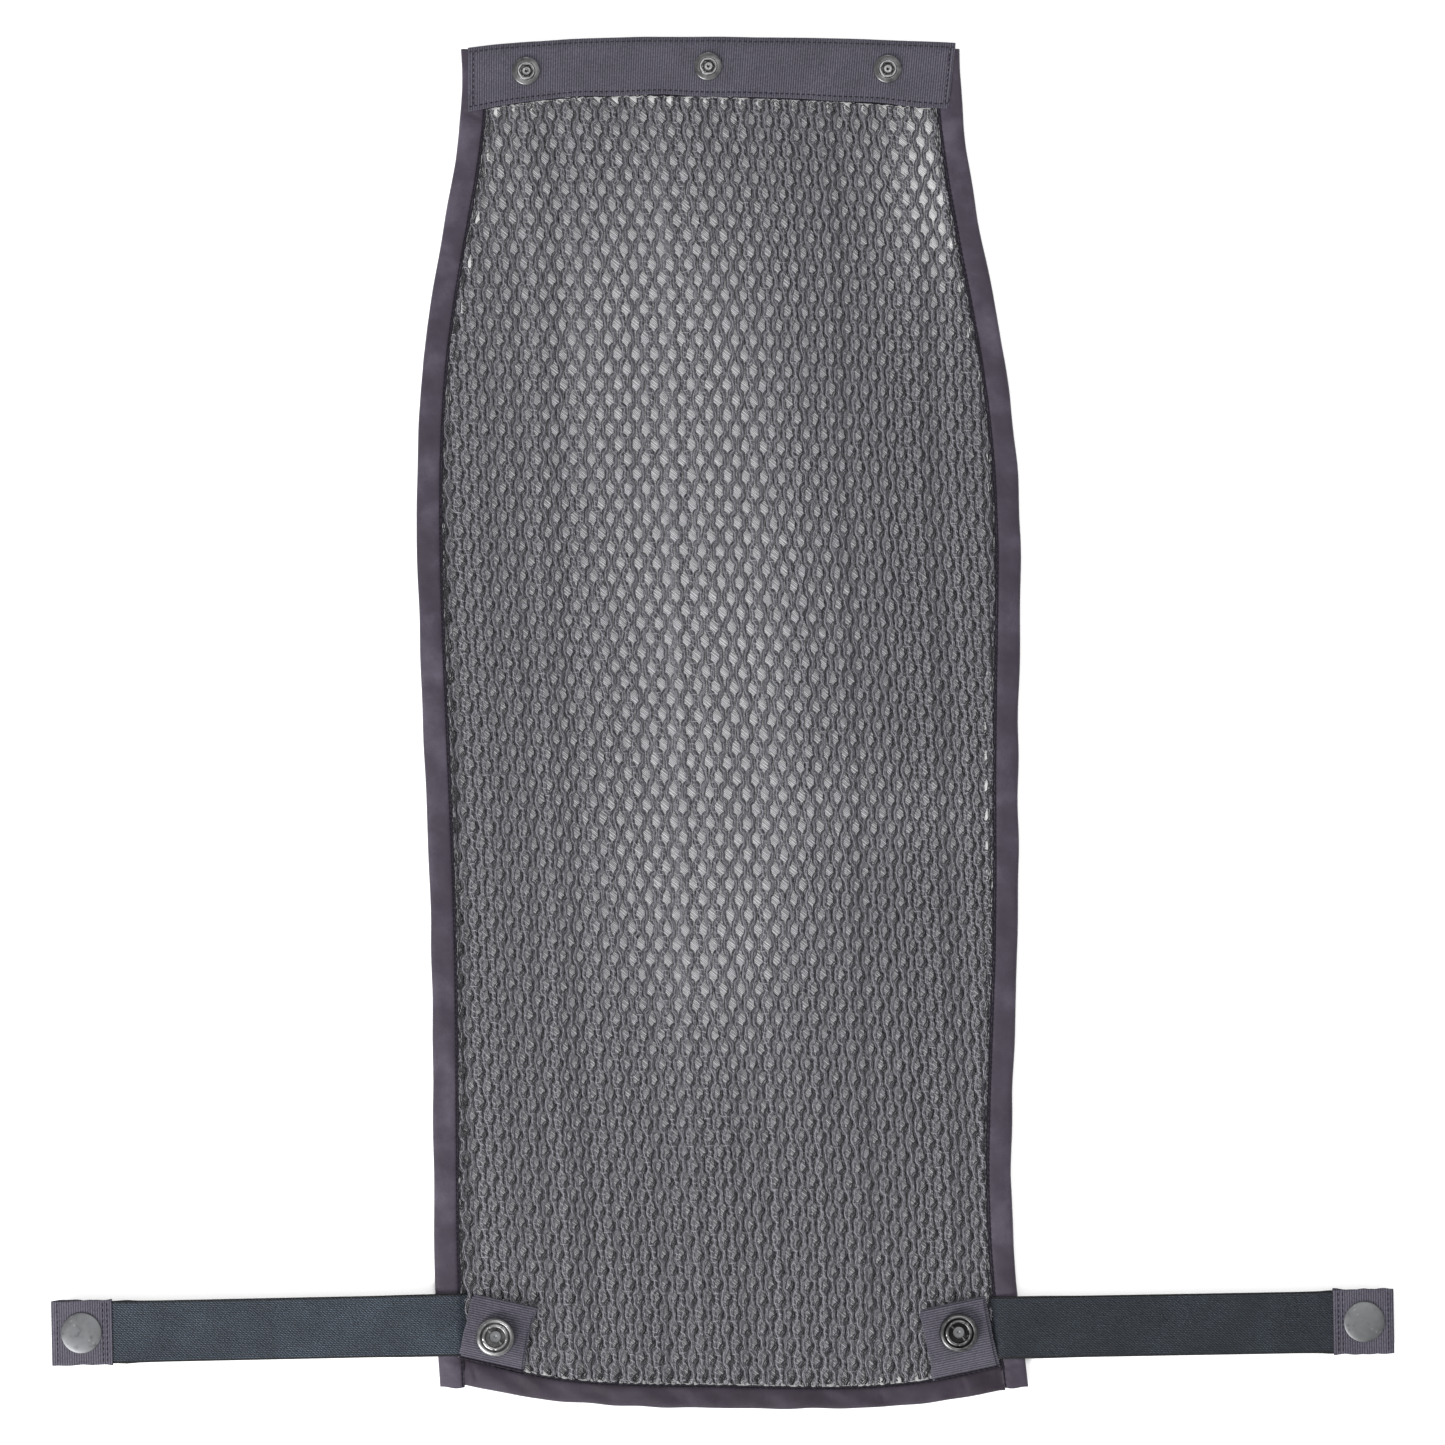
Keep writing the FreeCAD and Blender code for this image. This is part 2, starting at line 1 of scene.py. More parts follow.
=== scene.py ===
"""The looks of a soft baby carrier's snap-in mesh panel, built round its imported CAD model.

The panel is two knitted nets held apart by pile yarns, bound with folded cloth, with a ribbed tape
along its top. Sizes and places are in millimetres and come from the frame; build() turns them into
metres. Every soft piece is made from the way it is knitted, folded or sewn.
"""

import json
import math

import bpy
import numpy as np
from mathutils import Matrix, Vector


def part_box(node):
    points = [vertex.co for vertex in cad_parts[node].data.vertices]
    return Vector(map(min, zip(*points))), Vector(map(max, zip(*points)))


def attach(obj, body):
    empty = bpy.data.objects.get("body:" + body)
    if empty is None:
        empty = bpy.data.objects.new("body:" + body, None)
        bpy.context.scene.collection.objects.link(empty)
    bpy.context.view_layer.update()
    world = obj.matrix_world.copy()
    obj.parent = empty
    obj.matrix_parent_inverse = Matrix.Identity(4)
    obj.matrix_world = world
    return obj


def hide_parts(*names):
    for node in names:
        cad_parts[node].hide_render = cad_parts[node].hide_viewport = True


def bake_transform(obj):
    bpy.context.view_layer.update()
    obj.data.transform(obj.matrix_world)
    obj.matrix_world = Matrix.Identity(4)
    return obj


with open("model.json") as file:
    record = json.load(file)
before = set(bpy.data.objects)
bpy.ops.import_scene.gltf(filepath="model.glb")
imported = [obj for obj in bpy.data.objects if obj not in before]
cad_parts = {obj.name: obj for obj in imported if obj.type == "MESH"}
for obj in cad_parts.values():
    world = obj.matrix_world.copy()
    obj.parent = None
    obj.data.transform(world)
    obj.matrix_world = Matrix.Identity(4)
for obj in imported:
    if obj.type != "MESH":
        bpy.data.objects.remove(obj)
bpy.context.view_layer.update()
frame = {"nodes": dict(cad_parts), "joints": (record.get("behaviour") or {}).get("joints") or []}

MM = 0.001
X_AXIS, Y_AXIS = 0, 1
UP = np.array([0.0, 0.0, 1.0])
SIDES = ("left", "right")
STUDS = ("left", "centre", "right")
random = np.random.default_rng(5)

# ---------------------------------------------------------------- the cloths' own sizes

NET_PITCH = 6.95
ROW_PITCH = 5.85
WALL_SHARE = 0.58
WALE_GAP = 1.04
PLY_RADIUS = 0.27
PLY_SPREAD = 0.4
WRAP_RADIUS = 0.14
FRONT_NET_RISE = 3.72
BACK_NET_RISE = 0.78
MIDDLE_RISE = 2.3
EDGE_MARGIN = 0.4
CLOTH_THICKNESS = 0.28
TAPE_THICKNESS = 0.42
RIB_PITCH = 0.93
RIB_HEIGHT = 0.1
STITCH_PITCH = 2.1
THREAD_RADIUS = 0.15
SEAM_THREAD_RADIUS = 0.28
ELASTIC_ROOT = 12.0
HEM_TUCK = 1.6
BINDING_WIDTH = 9.5
WRAP_TWIST = 2.6
PILE_RADIUS = 0.17
INLAY_PITCH = 1.3
INLAY_RADIUS = 0.17
YARN_SIDES = 3

# ---------------------------------------------------------------- reading the frame


def box_of(node):
    """A CAD piece's lowest and highest corners."""
    low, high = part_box(node)
    return np.array(low) / MM, np.array(high) / MM


def centre_of(node):
    """The middle of a CAD piece's box."""
    low, high = box_of(node)
    return (low + high) / 2


def points_of(node):
    """A CAD piece's points."""
    mesh = frame["nodes"][node].data
    points = np.empty(len(mesh.vertices) * 3)
    mesh.vertices.foreach_get("co", points)
    return points.reshape(-1, 3) / MM


def corner_of(node, to_right, to_top):
    """The corner of a flat CAD piece that lies furthest towards one diagonal."""
    points = points_of(node)
    return points[np.argmax(points[:, 0] * to_right + points[:, 1] * to_top)]


def joint_of(name):
    """A joint's place and the direction of its axis."""
    joint = next(joint for joint in frame["joints"] if joint["name"] == name)
    return np.array(joint.get("pos_m", (0, 0, 0))) / MM, np.array(joint["axis"], float)


def reach_of(node, origin, direction):
    """How far a CAD piece reaches from a point, backwards and forwards along a direction."""
    along = (points_of(node) - origin) @ direction
    return along.min(), along.max()


class Outline:
    """The edges of a flat CAD piece: its reach across one axis at places along the other."""

    def __init__(self, node, along, step=1.5):
        mesh = frame["nodes"][node].data
        points = points_of(node)
        edges = np.empty(len(mesh.edges) * 2, int)
        mesh.edges.foreach_get("vertices", edges)
        start, end = points[edges[0::2]], points[edges[1::2]]
        across = 1 - along
        self.first, self.last = points[:, along].min(), points[:, along].max()
        inset = 0.01
        count = int((self.last - self.first) / step)
        self.places = np.linspace(self.first + inset, self.last - inset, count)
        self.lows, self.highs = [], []
        run = end[:, along] - start[:, along]
        for place in self.places:
            share = (place - start[:, along]) / np.where(run == 0, np.inf, run)
            crossing = (share > 0) & (share < 1)
            there = start[crossing, across]
            there = there + share[crossing] * (end[crossing, across] - there)
            self.lows.append(there.min())
            self.highs.append(there.max())

    def low(self, place):
        return np.interp(place, self.places, self.lows)

    def high(self, place):
        return np.interp(place, self.places, self.highs)


left_edge = Outline("left_side_binding", Y_AXIS)
right_edge = Outline("right_side_binding", Y_AXIS)
hem_edge = Outline("bottom_binding", X_AXIS)
band_edge = Outline("top_band_front", X_AXIS)

# ---------------------------------------------------------------- curves and smooth fields


def ease(share):
    """A smooth rise from 0 to 1."""
    share = np.clip(share, 0, 1)
    return share * share * (3 - 2 * share)


def smooth_line(points, step):
    """A Catmull-Rom curve through points, sampled evenly at about a step."""
    points = np.asarray(points, float)
    padded = np.vstack([2 * points[0] - points[1], points, 2 * points[-1] - points[-2]])
    fine = []
    for before, start, end, after in zip(padded, padded[1:], padded[2:], padded[3:]):
        t = np.linspace(0, 1, 16, endpoint=False)[:, None]
        fine.append(0.5 * (2 * start + (end - before) * t
                           + (2 * before - 5 * start + 4 * end - after) * t**2
                           + (3 * start - before - 3 * end + after) * t**3))
    fine = np.vstack(fine + [points[-1:]])
    return evenly(fine, step)


def evenly(line, step):
    """A polyline sampled again, evenly at about a step."""
    travelled = length_along(line)
    count = max(2, int(round(travelled[-1] / step)) + 1)
    wanted = np.linspace(0, travelled[-1], count)
    return np.stack([np.interp(wanted, travelled, column) for column in line.T], axis=1)


def length_along(line):
    """The distance travelled along a polyline at each of its points."""
    steps = np.linalg.norm(np.diff(line, axis=0), axis=1)
    return np.concatenate([[0], np.cumsum(steps)])


class Swell:
    """A smooth field of gentle ups and downs, between about -1 and 1, the same each run."""

    def __init__(self, wavelength, waves=9):
        turns = random.uniform(0, 2 * math.pi, waves)
        stretch = 2 * math.pi / (wavelength * random.uniform(0.7, 1.6, waves))
        self.across = np.cos(turns) * stretch
        self.along = np.sin(turns) * stretch
        self.phase = random.uniform(0, 2 * math.pi, waves)

    def __call__(self, x, y):
        x, y = np.asarray(x, float)[..., None], np.asarray(y, float)[..., None]
        return np.sin(x * self.across + y * self.along + self.phase).mean(axis=-1) * 2.2


def inside_by(x, y):
    """How far a place lies inside the bindings and the band; below 0 under them."""
    from_sides = np.minimum(x - left_edge.high(y), right_edge.low(y) - x)
    from_ends = np.minimum(y - hem_edge.high(x), band_edge.low(x) - y)
    return np.minimum(from_sides, from_ends)


# ---------------------------------------------------------------- materials


class Look:
    """A material: its Principled shader, and short ways to add the nodes in front of it."""

    def __init__(self, name, **sockets):
        self.material = bpy.data.materials.new(name)
        self.material.use_nodes = True
        self.tree = self.material.node_tree
        self.shader = self.tree.nodes["Principled BSDF"]
        for socket, value in sockets.items():
            self.shader.inputs[socket.replace("_", " ")].default_value = value

    def node(self, kind, settings=None, **inputs):
        """A node whose inputs are numbers, colours or other nodes' outputs."""
        node = self.tree.nodes.new("ShaderNode" + kind)
        for name, value in (settings or {}).items():
            setattr(node, name, value)
        for name, value in inputs.items():
            socket = node.inputs[int(name[1:]) if name[1:].isdigit() else name.replace("_", " ")]
            if isinstance(value, bpy.types.NodeSocket):
                self.tree.links.new(value, socket)
            else:
                socket.default_value = value
        return node

    def place(self):
        """The piece's own coordinates, in metres."""
        return self.node("TexCoord").outputs["Object"]

    def value(self, name):
        """A number kept at each point of the piece."""
        return self.node("Attribute", {"attribute_name": name}).outputs["Fac"]

    def thread(self, name="cloth"):
        """The distance along the cloth and across it, in millimetres."""
        return self.node("Attribute", {"attribute_name": name}).outputs["Vector"]

    def noise(self, size, detail=2.0, vector=None, roughness=0.5):
        """Noise whose features are about a size across, in millimetres."""
        vector = vector or self.place()
        return self.node("TexNoise", Vector=vector, Scale=1 / (size * MM), Detail=detail,
                         Roughness=roughness).outputs["Fac"]

    def math(self, operation, first, second=0.0):
        return self.node("Math", {"operation": operation}, _0=first, _1=second).outputs[0]

    def wave(self, source, pitch):
        """A wave along a distance, from -1 to 1."""
        return self.math("SINE", self.math("MULTIPLY", source, 2 * math.pi / pitch))

    def total(self, *parts):
        """The sum of values that each count for a share."""
        made = None
        for source, share in parts:
            part = self.math("MULTIPLY", source, share)
            made = self.math("ADD", made, part) if made else part
        return made

    def ramp(self, source, *stops):
        """A colour for each value: stops are pairs of a place and a colour."""
        node = self.node("ValToRGB", Fac=source)
        elements = node.color_ramp.elements
        while len(elements) < len(stops):
            elements.new(0.5)
        for element, (place, colour) in zip(elements, stops):
            element.position = place
            element.color = (*colour, 1.0)
        return node.outputs["Color"]

    def spread(self, source, low, high):
        """A value between 0 and 1 turned into one between two others."""
        node = self.node("MapRange", Value=source)
        node.inputs["To Min"].default_value = low
        node.inputs["To Max"].default_value = high
        return node.outputs["Result"]

    def colour(self, output):
        self.tree.links.new(output, self.shader.inputs["Base Color"])
        return self

    def rough(self, output):
        self.tree.links.new(output, self.shader.inputs["Roughness"])
        return self

    def bump(self, height, depth, strength=1.0):
        """Fine relief whose full height is a depth, in millimetres."""
        made = self.node("Bump", Height=height, Distance=depth * MM, Strength=strength)
        before = self.shader.inputs["Normal"].links
        if before:
            self.tree.links.new(before[0].from_socket, made.inputs["Normal"])
        self.tree.links.new(made.outputs["Normal"], self.shader.inputs["Normal"])
        return self


def grey(red, green, blue):
    """A linear colour from the usual 0 to 255 values."""
    return tuple(((value / 255 + 0.055) / 1.055) ** 2.4 for value in (red, green, blue))


def yarn_look(name, dark, light):
    """Textured polyester yarn: fine filaments, each yarn a little lighter or darker."""
    look = Look(name, Roughness=0.42, Specular_IOR_Level=0.5, Sheen_Weight=0.15)
    fleck = look.noise(0.7, 3.0)
    mottled = look.total((look.value("tone"), 0.5), (fleck, 0.5))
    look.colour(look.ramp(mottled, (0.28, dark), (0.72, light)))
    return look.bump(look.noise(0.18, 3.0), 0.08).material


def binding_look():
    """Smooth taffeta: a tight plain weave with a slight sheen, mottled lighter and darker in soft random
    patches.
    """
    look = Look("binding_cloth", Specular_IOR_Level=0.3, Sheen_Weight=0.15, Sheen_Roughness=0.4)
    parts = look.node("SeparateXYZ", Vector=look.thread())
    weave_pitch = 0.3
    warp = look.wave(parts.outputs["X"], weave_pitch)
    weft = look.wave(parts.outputs["Y"], weave_pitch)
    weave = look.math("MULTIPLY", warp, weft)
    clouds = look.noise(16.0, 4.0)
    slubs = look.noise(0.6, 2.0)
    tone = look.math("ADD", look.total((clouds, 0.85), (slubs, 0.15)), look.value("tone"))
    look.colour(look.ramp(tone, (0.1, grey(33, 23, 36)), (0.5, grey(53, 46, 59)),
                          (0.72, grey(76, 69, 83))))
    look.rough(look.spread(clouds, 0.42, 0.6))
    look.bump(weave, 0.02)
    look.bump(look.noise(11.0, 2.0), 0.9)
    return look.bump(look.noise(3.0, 3.0), 0.12).material


def ribbed_look():
    """Grosgrain: rounded ribs across the tape, crossed by a fine warp, with painted shade between the
    ribs.
    """
    look = Look("grosgrain", Specular_IOR_Level=0.3, Sheen_Weight=0.15, Sheen_Roughness=0.4)
    parts = look.node("SeparateXYZ", Vector=look.thread())
    along, across = parts.outputs["X"], parts.outputs["Y"]
    # painted shade: the tape is coloured darker between its ribs
    rib = look.math("ABSOLUTE", look.math("SINE", look.math("MULTIPLY", along, math.pi / RIB_PITCH)))
    warp_pitch = 0.3
    warp = look.wave(across, warp_pitch)
    streak = look.noise(0.8, 3.0)
    clouds = look.noise(12.0, 3.0)
    tone = look.total((rib, 0.46), (streak, 0.5), (clouds, 0.2))
    look.colour(look.ramp(tone, (0.25, grey(20, 18, 24)), (0.63, grey(58, 55, 66)),
                          (0.92, grey(92, 89, 101))))
    look.rough(look.spread(streak, 0.5, 0.7))
    return look.bump(warp, 0.03).material


def elastic_look():
    """Woven elastic: a steep fine twill over fine rubber cords, with firm dark edges."""
    look = Look("elastic_webbing", Specular_IOR_Level=0.3, Sheen_Weight=0.1, Sheen_Roughness=0.4)
    parts = look.node("SeparateXYZ", Vector=look.thread())
    along, across = parts.outputs["X"], parts.outputs["Y"]
    wobble = look.math("MULTIPLY", look.noise(0.9, 1.0), 0.9)
    along_turn = look.math("MULTIPLY", along, 1 / 1.28)
    across_turn = look.math("MULTIPLY", across, 1 / 1.08)
    slant = look.math("ADD", look.math("ADD", along_turn, across_turn), wobble)
    twill = look.math("SINE", look.math("MULTIPLY", slant, 2 * math.pi))
    dots = look.wave(across, 0.72)
    speckle = look.noise(0.45, 2.0)
    clouds = look.noise(14.0, 3.0)
    tone = look.total((twill, 0.15), (dots, 0.12), (speckle, 0.65), (clouds, 0.2))
    tone = look.math("ADD", tone, look.value("tone"))
    inner = look.math("LESS_THAN", look.math("ABSOLUTE", across), 11.3)
    tone = look.math("MULTIPLY", tone, look.spread(inner, 0.3, 1.0))
    look.colour(look.ramp(tone, (0.15, grey(8, 10, 14)), (0.5, grey(32, 40, 50)),
                          (0.85, grey(92, 106, 120))))
    look.rough(look.spread(speckle, 0.55, 0.75))
    look.bump(twill, 0.06)
    return look.bump(dots, 0.03).material


def thread_look():
    """Sewing thread: dark, tightly twisted and slightly glossy."""
    look = Look("sewing_thread", Roughness=0.6, Specular_IOR_Level=0.2)
    fleck = look.noise(0.35, 2.0)
    look.colour(look.ramp(fleck, (0.3, grey(12, 10, 16)), (0.7, grey(36, 31, 42))))
    return look.bump(fleck, 0.05).material


def metal_look(name, dark, light, roughness, grain):
    """Plated metal: cloudy, finely grained, and rubbed brighter along its edges."""
    look = Look(name, Metallic=1.0)
    clouds = look.noise(2.4, 4.0)
    edges = look.node("MapRange", Value=look.node("NewGeometry").outputs["Pointiness"])
    edges.inputs["From Min"].default_value = 0.5
    edges.inputs["From Max"].default_value = 0.6
    tone = look.total((clouds, 0.6), (edges.outputs["Result"], 0.5))
    tone = look.math("ADD", tone, look.value("tone"))
    look.colour(look.ramp(tone, (0.0, grey(38, 37, 38)), (0.25, dark), (0.9, light)))
    look.rough(look.spread(clouds, roughness * 0.8, roughness * 1.25))
    return look.bump(look.noise(grain, 3.0), 0.012).material


LOOKS = {
    "front_yarn": yarn_look("front_yarn", grey(46, 45, 51), grey(122, 121, 128)),
    # painted shade: the back net, pile and selvedge yarns use a darker copy of the yarn, for the shade
    # between and beside the nets
    "shaded_yarn": yarn_look("shaded_yarn", grey(26, 25, 30), grey(74, 73, 80)),
    # painted highlight: the wrap yarn is a lighter copy of the yarn, for the glints where it crosses the
    # wales
    "wrap_yarn": yarn_look("wrap_yarn", grey(62, 61, 67), grey(150, 149, 156)),
    "inlay_yarn": yarn_look("inlay_yarn", grey(28, 27, 32), grey(206, 205, 211)),
    "binding": binding_look(),
    "ribbed": ribbed_look(),
    "elastic": elastic_look(),
    "thread": thread_look(),
    "gunmetal": metal_look("gunmetal", grey(104, 104, 105), grey(184, 184, 185), 0.36, 0.35),
    "satin": metal_look("satin_metal", grey(116, 117, 119), grey(142, 143, 145), 0.52, 0.22),
    "wire": metal_look("spring_wire", grey(150, 150, 152), grey(205, 205, 206), 0.25, 0.3),
}

# ---------------------------------------------------------------- meshes


def build(name, points, faces, look, cloth=None, tone=None):
    """A piece from points in millimetres, with the values that its material reads.

    Faces come as arrays, each of faces that have the same number of corners."""
    faces = [np.atleast_2d(group) for group in faces]
    corners = np.concatenate([group.ravel() for group in faces]).astype(np.int32)
    sizes = np.concatenate([np.full(len(group), group.shape[1]) for group in faces])
    mesh = bpy.data.meshes.new(name)
    mesh.vertices.add(len(points))
    mesh.vertices.foreach_set("co", (np.asarray(points, float) * MM).ravel())
    mesh.loops.add(len(corners))
    mesh.loops.foreach_set("vertex_index", corners)
    mesh.polygons.add(len(sizes))
    mesh.polygons.foreach_set("loop_start", np.concatenate([[0], np.cumsum(sizes)[:-1]]))
    mesh.update(calc_edges=True)
    mesh.validate()
    mesh.polygons.foreach_set("use_smooth", sizes <= 4)
    edges = np.zeros(len(corners), np.int32)
    mesh.loops.foreach_get("edge_index", edges)
    for edge in np.unique(edges[np.repeat(sizes, sizes) > 4]):
        mesh.edges[edge].use_edge_sharp = True
    if cloth is not None:
        values = mesh.attributes.new("cloth", "FLOAT_VECTOR", "POINT")
        values.data.foreach_set("vector", np.asarray(cloth, np.float32).ravel())
    tones = mesh.attributes.new("tone", "FLOAT", "POINT")
    tones.data.foreach_set("value", np.zeros(len(points), np.float32) + (0 if tone is None else tone))
    mesh.update()
    piece = bpy.data.objects.new(name, mesh)
    bpy.context.scene.collection.objects.link(piece)
    mesh.materials.append(LOOKS[look])
    return piece


def grid_faces(rows, columns, ring=False):
    """The faces of a grid of points, joined round its columns if it is a ring."""
    last = columns if ring else columns - 1
    row, column = np.meshgrid(np.arange(rows - 1), np.arange(last), indexing="ij")
    after = (column + 1) % columns
    corners = [row * columns + column, row * columns + after,
               (row + 1) * columns + after, (row + 1) * columns + column]
    return np.stack(corners, axis=-1).reshape(-1, 4)


def cloth_sheet(name, points, coordinates, thickness, look, tone=0.0):
    """A sheet of cloth from a grid of points on its middle surface."""
    rows, columns = points.shape[:2]
    piece = build(name, points.reshape(-1, 3), [grid_faces(rows, columns)], look,
                  cloth=coordinates.reshape(-1, 3), tone=tone)
    shell = piece.modifiers.new("cloth_thickness", "SOLIDIFY")
    shell.thickness = thickness * MM
    shell.offset = 0
    return piece


def tubes(paths, radius, sides, shown=None, up=UP):
    """Round yarns along many lines of the same number of points: points, walls, ends, lines.

    Only the stretches that are shown are made, and each is closed at its ends."""
    paths = np.asarray(paths, float)
    count, long = paths.shape[:2]
    shown = np.ones((count, long), bool) if shown is None else shown
    heading = np.gradient(paths, axis=1)
    heading /= np.linalg.norm(heading, axis=2, keepdims=True)
    sideways = np.cross(heading, up)
    sideways /= np.linalg.norm(sideways, axis=2, keepdims=True)
    outwards = np.cross(sideways, heading)
    angles = np.arange(sides) * 2 * math.pi / sides + math.pi / 4
    ring = (sideways[:, :, None] * np.cos(angles)[:, None]
            + outwards[:, :, None] * np.sin(angles)[:, None])
    points = (paths[:, :, None] + ring * np.asarray(radius)).reshape(-1, 3)

    index = np.arange(count * long * sides).reshape(count, long, sides)
    joined = shown[:, :-1] & shown[:, 1:]
    near, far = index[:, :-1][joined], index[:, 1:][joined]
    walls = np.stack([near, far, np.roll(far, -1, axis=1), np.roll(near, -1, axis=1)], axis=-1)
    before = np.zeros((count, long), bool)
    after = np.zeros((count, long), bool)
    before[:, 1:], after[:, :-1] = joined, joined
    starts = index[after & ~before]
    ends = index[before & ~after][:, ::-1]
    used = np.zeros(len(points), bool)
    used[walls.ravel()] = True
    renumbered = np.cumsum(used) - 1
    line_numbers = np.repeat(np.arange(count), long * sides)[used]
    return (points[used], renumbered[walls.reshape(-1, 4)],
            renumbered[np.vstack([starts, ends])], line_numbers)


def joined_tubes(name, parts, look):
    """One piece from several sets of tubes, whose yarns differ a little in tone.

    A set may end in a tone of its own, which its yarns stay near."""
    points, faces, tones, total = [], [], [], 0
    for part_points, walls, ends, lines, *tone in parts:
        points.append(part_points)
        faces += [walls + total, ends + total]
        own = random.uniform(0.0, 1.0, lines.max() + 1)[lines]
        tones.append(0.35 * own + 0.65 * tone[0] if tone else own)
        total += len(part_points)
    return build(name, np.vstack(points), faces, look, tone=np.concatenate(tones))


def ride(piece, body):
    """Lets a piece move with a body of the panel."""
    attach(piece, body)
    return piece


# ---------------------------------------------------------------- the spacer mesh

warp_across = Swell(170.0)
warp_along = Swell(190.0)
puff = Swell(120.0)


def openness(x, y):
    """Where the two nets lie hole over hole, from 0 to 1, so that what lies behind shows."""
    bright = np.zeros(np.broadcast(x, y).shape)
    for across, along, wide, tall, weight in (
        (-26.0, 160.0, 56.0, 90.0, 0.95),
        (-5.0, 20.0, 54.0, 105.0, 1.0),
        (-8.0, -80.0, 44.0, 60.0, 0.75),
        (82.0, 215.0, 26.0, 55.0, 1.1),
        (-88.0, 215.0, 22.0, 45.0, 0.35),
        (70.0, -35.0, 40.0, 18.0, 0.4),
    ):
        bright = bright + weight * np.exp(-((x - across) / wide) ** 2 - ((y - along) / tall) ** 2)
    return np.clip(bright, 0, 1)


def back_shift(x, y):
    """How far the back net lies to one side of the front net."""
    apart = 1 - openness(x, y)
    return -1.5 * apart, 1.5 * apart


def front_rise(x, y):
    """The height of the front net's middle surface."""
    inside = inside_by(x, y)
    rise = 2.6 + (FRONT_NET_RISE - 2.6) * ease((inside + 0.4) / 4.0)
    rise = rise + 0.1 * puff(x, y) * ease(inside / 10.0)
    for side in SIDES:
        cap = centre_of(f"{side}_tab_cap")
        away = np.hypot(x - cap[0], y - cap[1])
        pressed = 2.7 + 2.0 * ease((away - 8.0) / 5.0)
        rise = np.minimum(rise, pressed)
    return rise


def back_rise(x, y):
    """The height of the back net's middle surface."""
    return BACK_NET_RISE + 1.2 * (1 - ease((inside_by(x, y) + 0.4) / 4.0))


def wale_place(wale, row):
    """Where a wale runs at a place along its rows: across and along, in millimetres.

    A wale stands beside its left or right neighbour in turn. Each pair is a wall between two
    holes, and the wales cross over to their other neighbours between one row and the next: they
    leave slowly and arrive quickly, so each hole is pointed below and rounded above."""
    half = NET_PITCH / 2
    whole = np.floor(row)

    def wall(which):
        beside_next = (wale + which) % 2 == 0
        return np.where(beside_next, (wale + 0.5) * half - WALE_GAP, (wale - 0.5) * half + WALE_GAP)

    over = crossing_share(row) ** 1.3
    across = wall(whole) + (wall(whole + 1) - wall(whole)) * over
    along = row * ROW_PITCH
    tilted = along - 0.03 * across + 1.6 * warp_along(across, along)
    return across - 0.034 * along + 1.6 * warp_across(across, along), tilted


def crossing_share(row):
    """How far a wale has crossed over to its other neighbour."""
    return np.clip((row - np.floor(row) - WALL_SHARE) / (1 - WALL_SHARE), 0, 1)


LEAN_ROOM = 12.0
FIRST_WALE = int((min(left_edge.highs) - LEAN_ROOM) / (NET_PITCH / 2))
LAST_WALE = int((max(right_edge.lows) + LEAN_ROOM) / (NET_PITCH / 2))
FIRST_ROW = int(box_of("bottom_binding")[0][1] / ROW_PITCH) - 1
LAST_ROW = int(box_of("top_band_front")[1][1] / ROW_PITCH) + 1


def net_lines(wales, segments, rise, shift):
    """The middles of some wales of one net, their sideways direction, and what shows of them."""
    rows = np.linspace(FIRST_ROW, LAST_ROW, (LAST_ROW - FIRST_ROW) * segments + 1)[None, :]
    wale = np.asarray(wales, float)[:, None]
    across, along = wale_place(wale, rows + np.zeros_like(wale))
    if shift:
        over, up = shift(across, along)
        across, along = across + over, along + up
    shown = inside_by(across, along) > EDGE_MARGIN
    middle = np.stack([across, along, rise(across, along)], axis=-1)
    heading = np.gradient(middle, axis=1)
    heading /= np.linalg.norm(heading, axis=2, keepdims=True)
    return rows, middle, np.cross(heading, UP), shown


def net_yarns(wales, segments, rise, shift, size=1.0):
    """The four plies of each wale: two raised ones between two lower ones, with the raised ones painted
    lighter and the lower ones darker, as painted light and shade.
    """
    rows, middle, sideways, shown = net_lines(wales, segments, rise, shift)
    phase = random.uniform(0, 2 * math.pi, len(middle))[:, None]
    parts = []
    spread = PLY_SPREAD * (1 + 0.7 * np.sin(math.pi * crossing_share(rows)) ** 0.7)
    # painted light and shade: the last number of each ply is its tone, high for the raised plies and low
    # for the lower ones
    for aside, lift, tone in ((-1.5, -0.24, 0.05), (-0.5, 0.2, 0.85), (0.5, 0.08, 0.55),
                              (1.5, -0.24, 0.15)):
        own = phase + 2.1 * aside
        sway = 0.17 * np.sin(rows * 9.1 + own * 3) + 0.14 * np.sin(rows * 4.3 + own)
        heave = 0.16 * np.sin(rows * 10.7 + own * 2)
        line = middle + size * (sideways * (aside * spread + sway)[..., None]
                                + UP * (lift + heave)[..., None])
        thick = size * PLY_RADIUS * (1 + 0.16 * np.sin(rows * 7.1 + own * 4))[..., None, None]
        parts.append((*tubes(line, thick, YARN_SIDES, shown), tone))
    return parts


def wrap_yarns(wales, segments):
    """The fine yarn round each wale, which swings out wide where the wales cross over."""
    rows, middle, sideways, shown = net_lines(wales, segments, front_rise, None)
    phase = random.uniform(0, 2 * math.pi, len(middle))[:, None]
    wander = phase + 1.3 * np.sin(rows * 1.1 + phase * 2) + 0.8 * np.sin(rows * 2.7 + phase * 5)
    turn = WRAP_TWIST * 2 * math.pi * rows + wander
    swing = 0.86 + 0.55 * np.sin(math.pi * crossing_share(rows))
    line = middle + (sideways * (swing * np.cos(turn))[..., None]
                     + UP * (0.74 * np.sin(turn))[..., None])
    return [tubes(line, WRAP_RADIUS, YARN_SIDES, shown)]


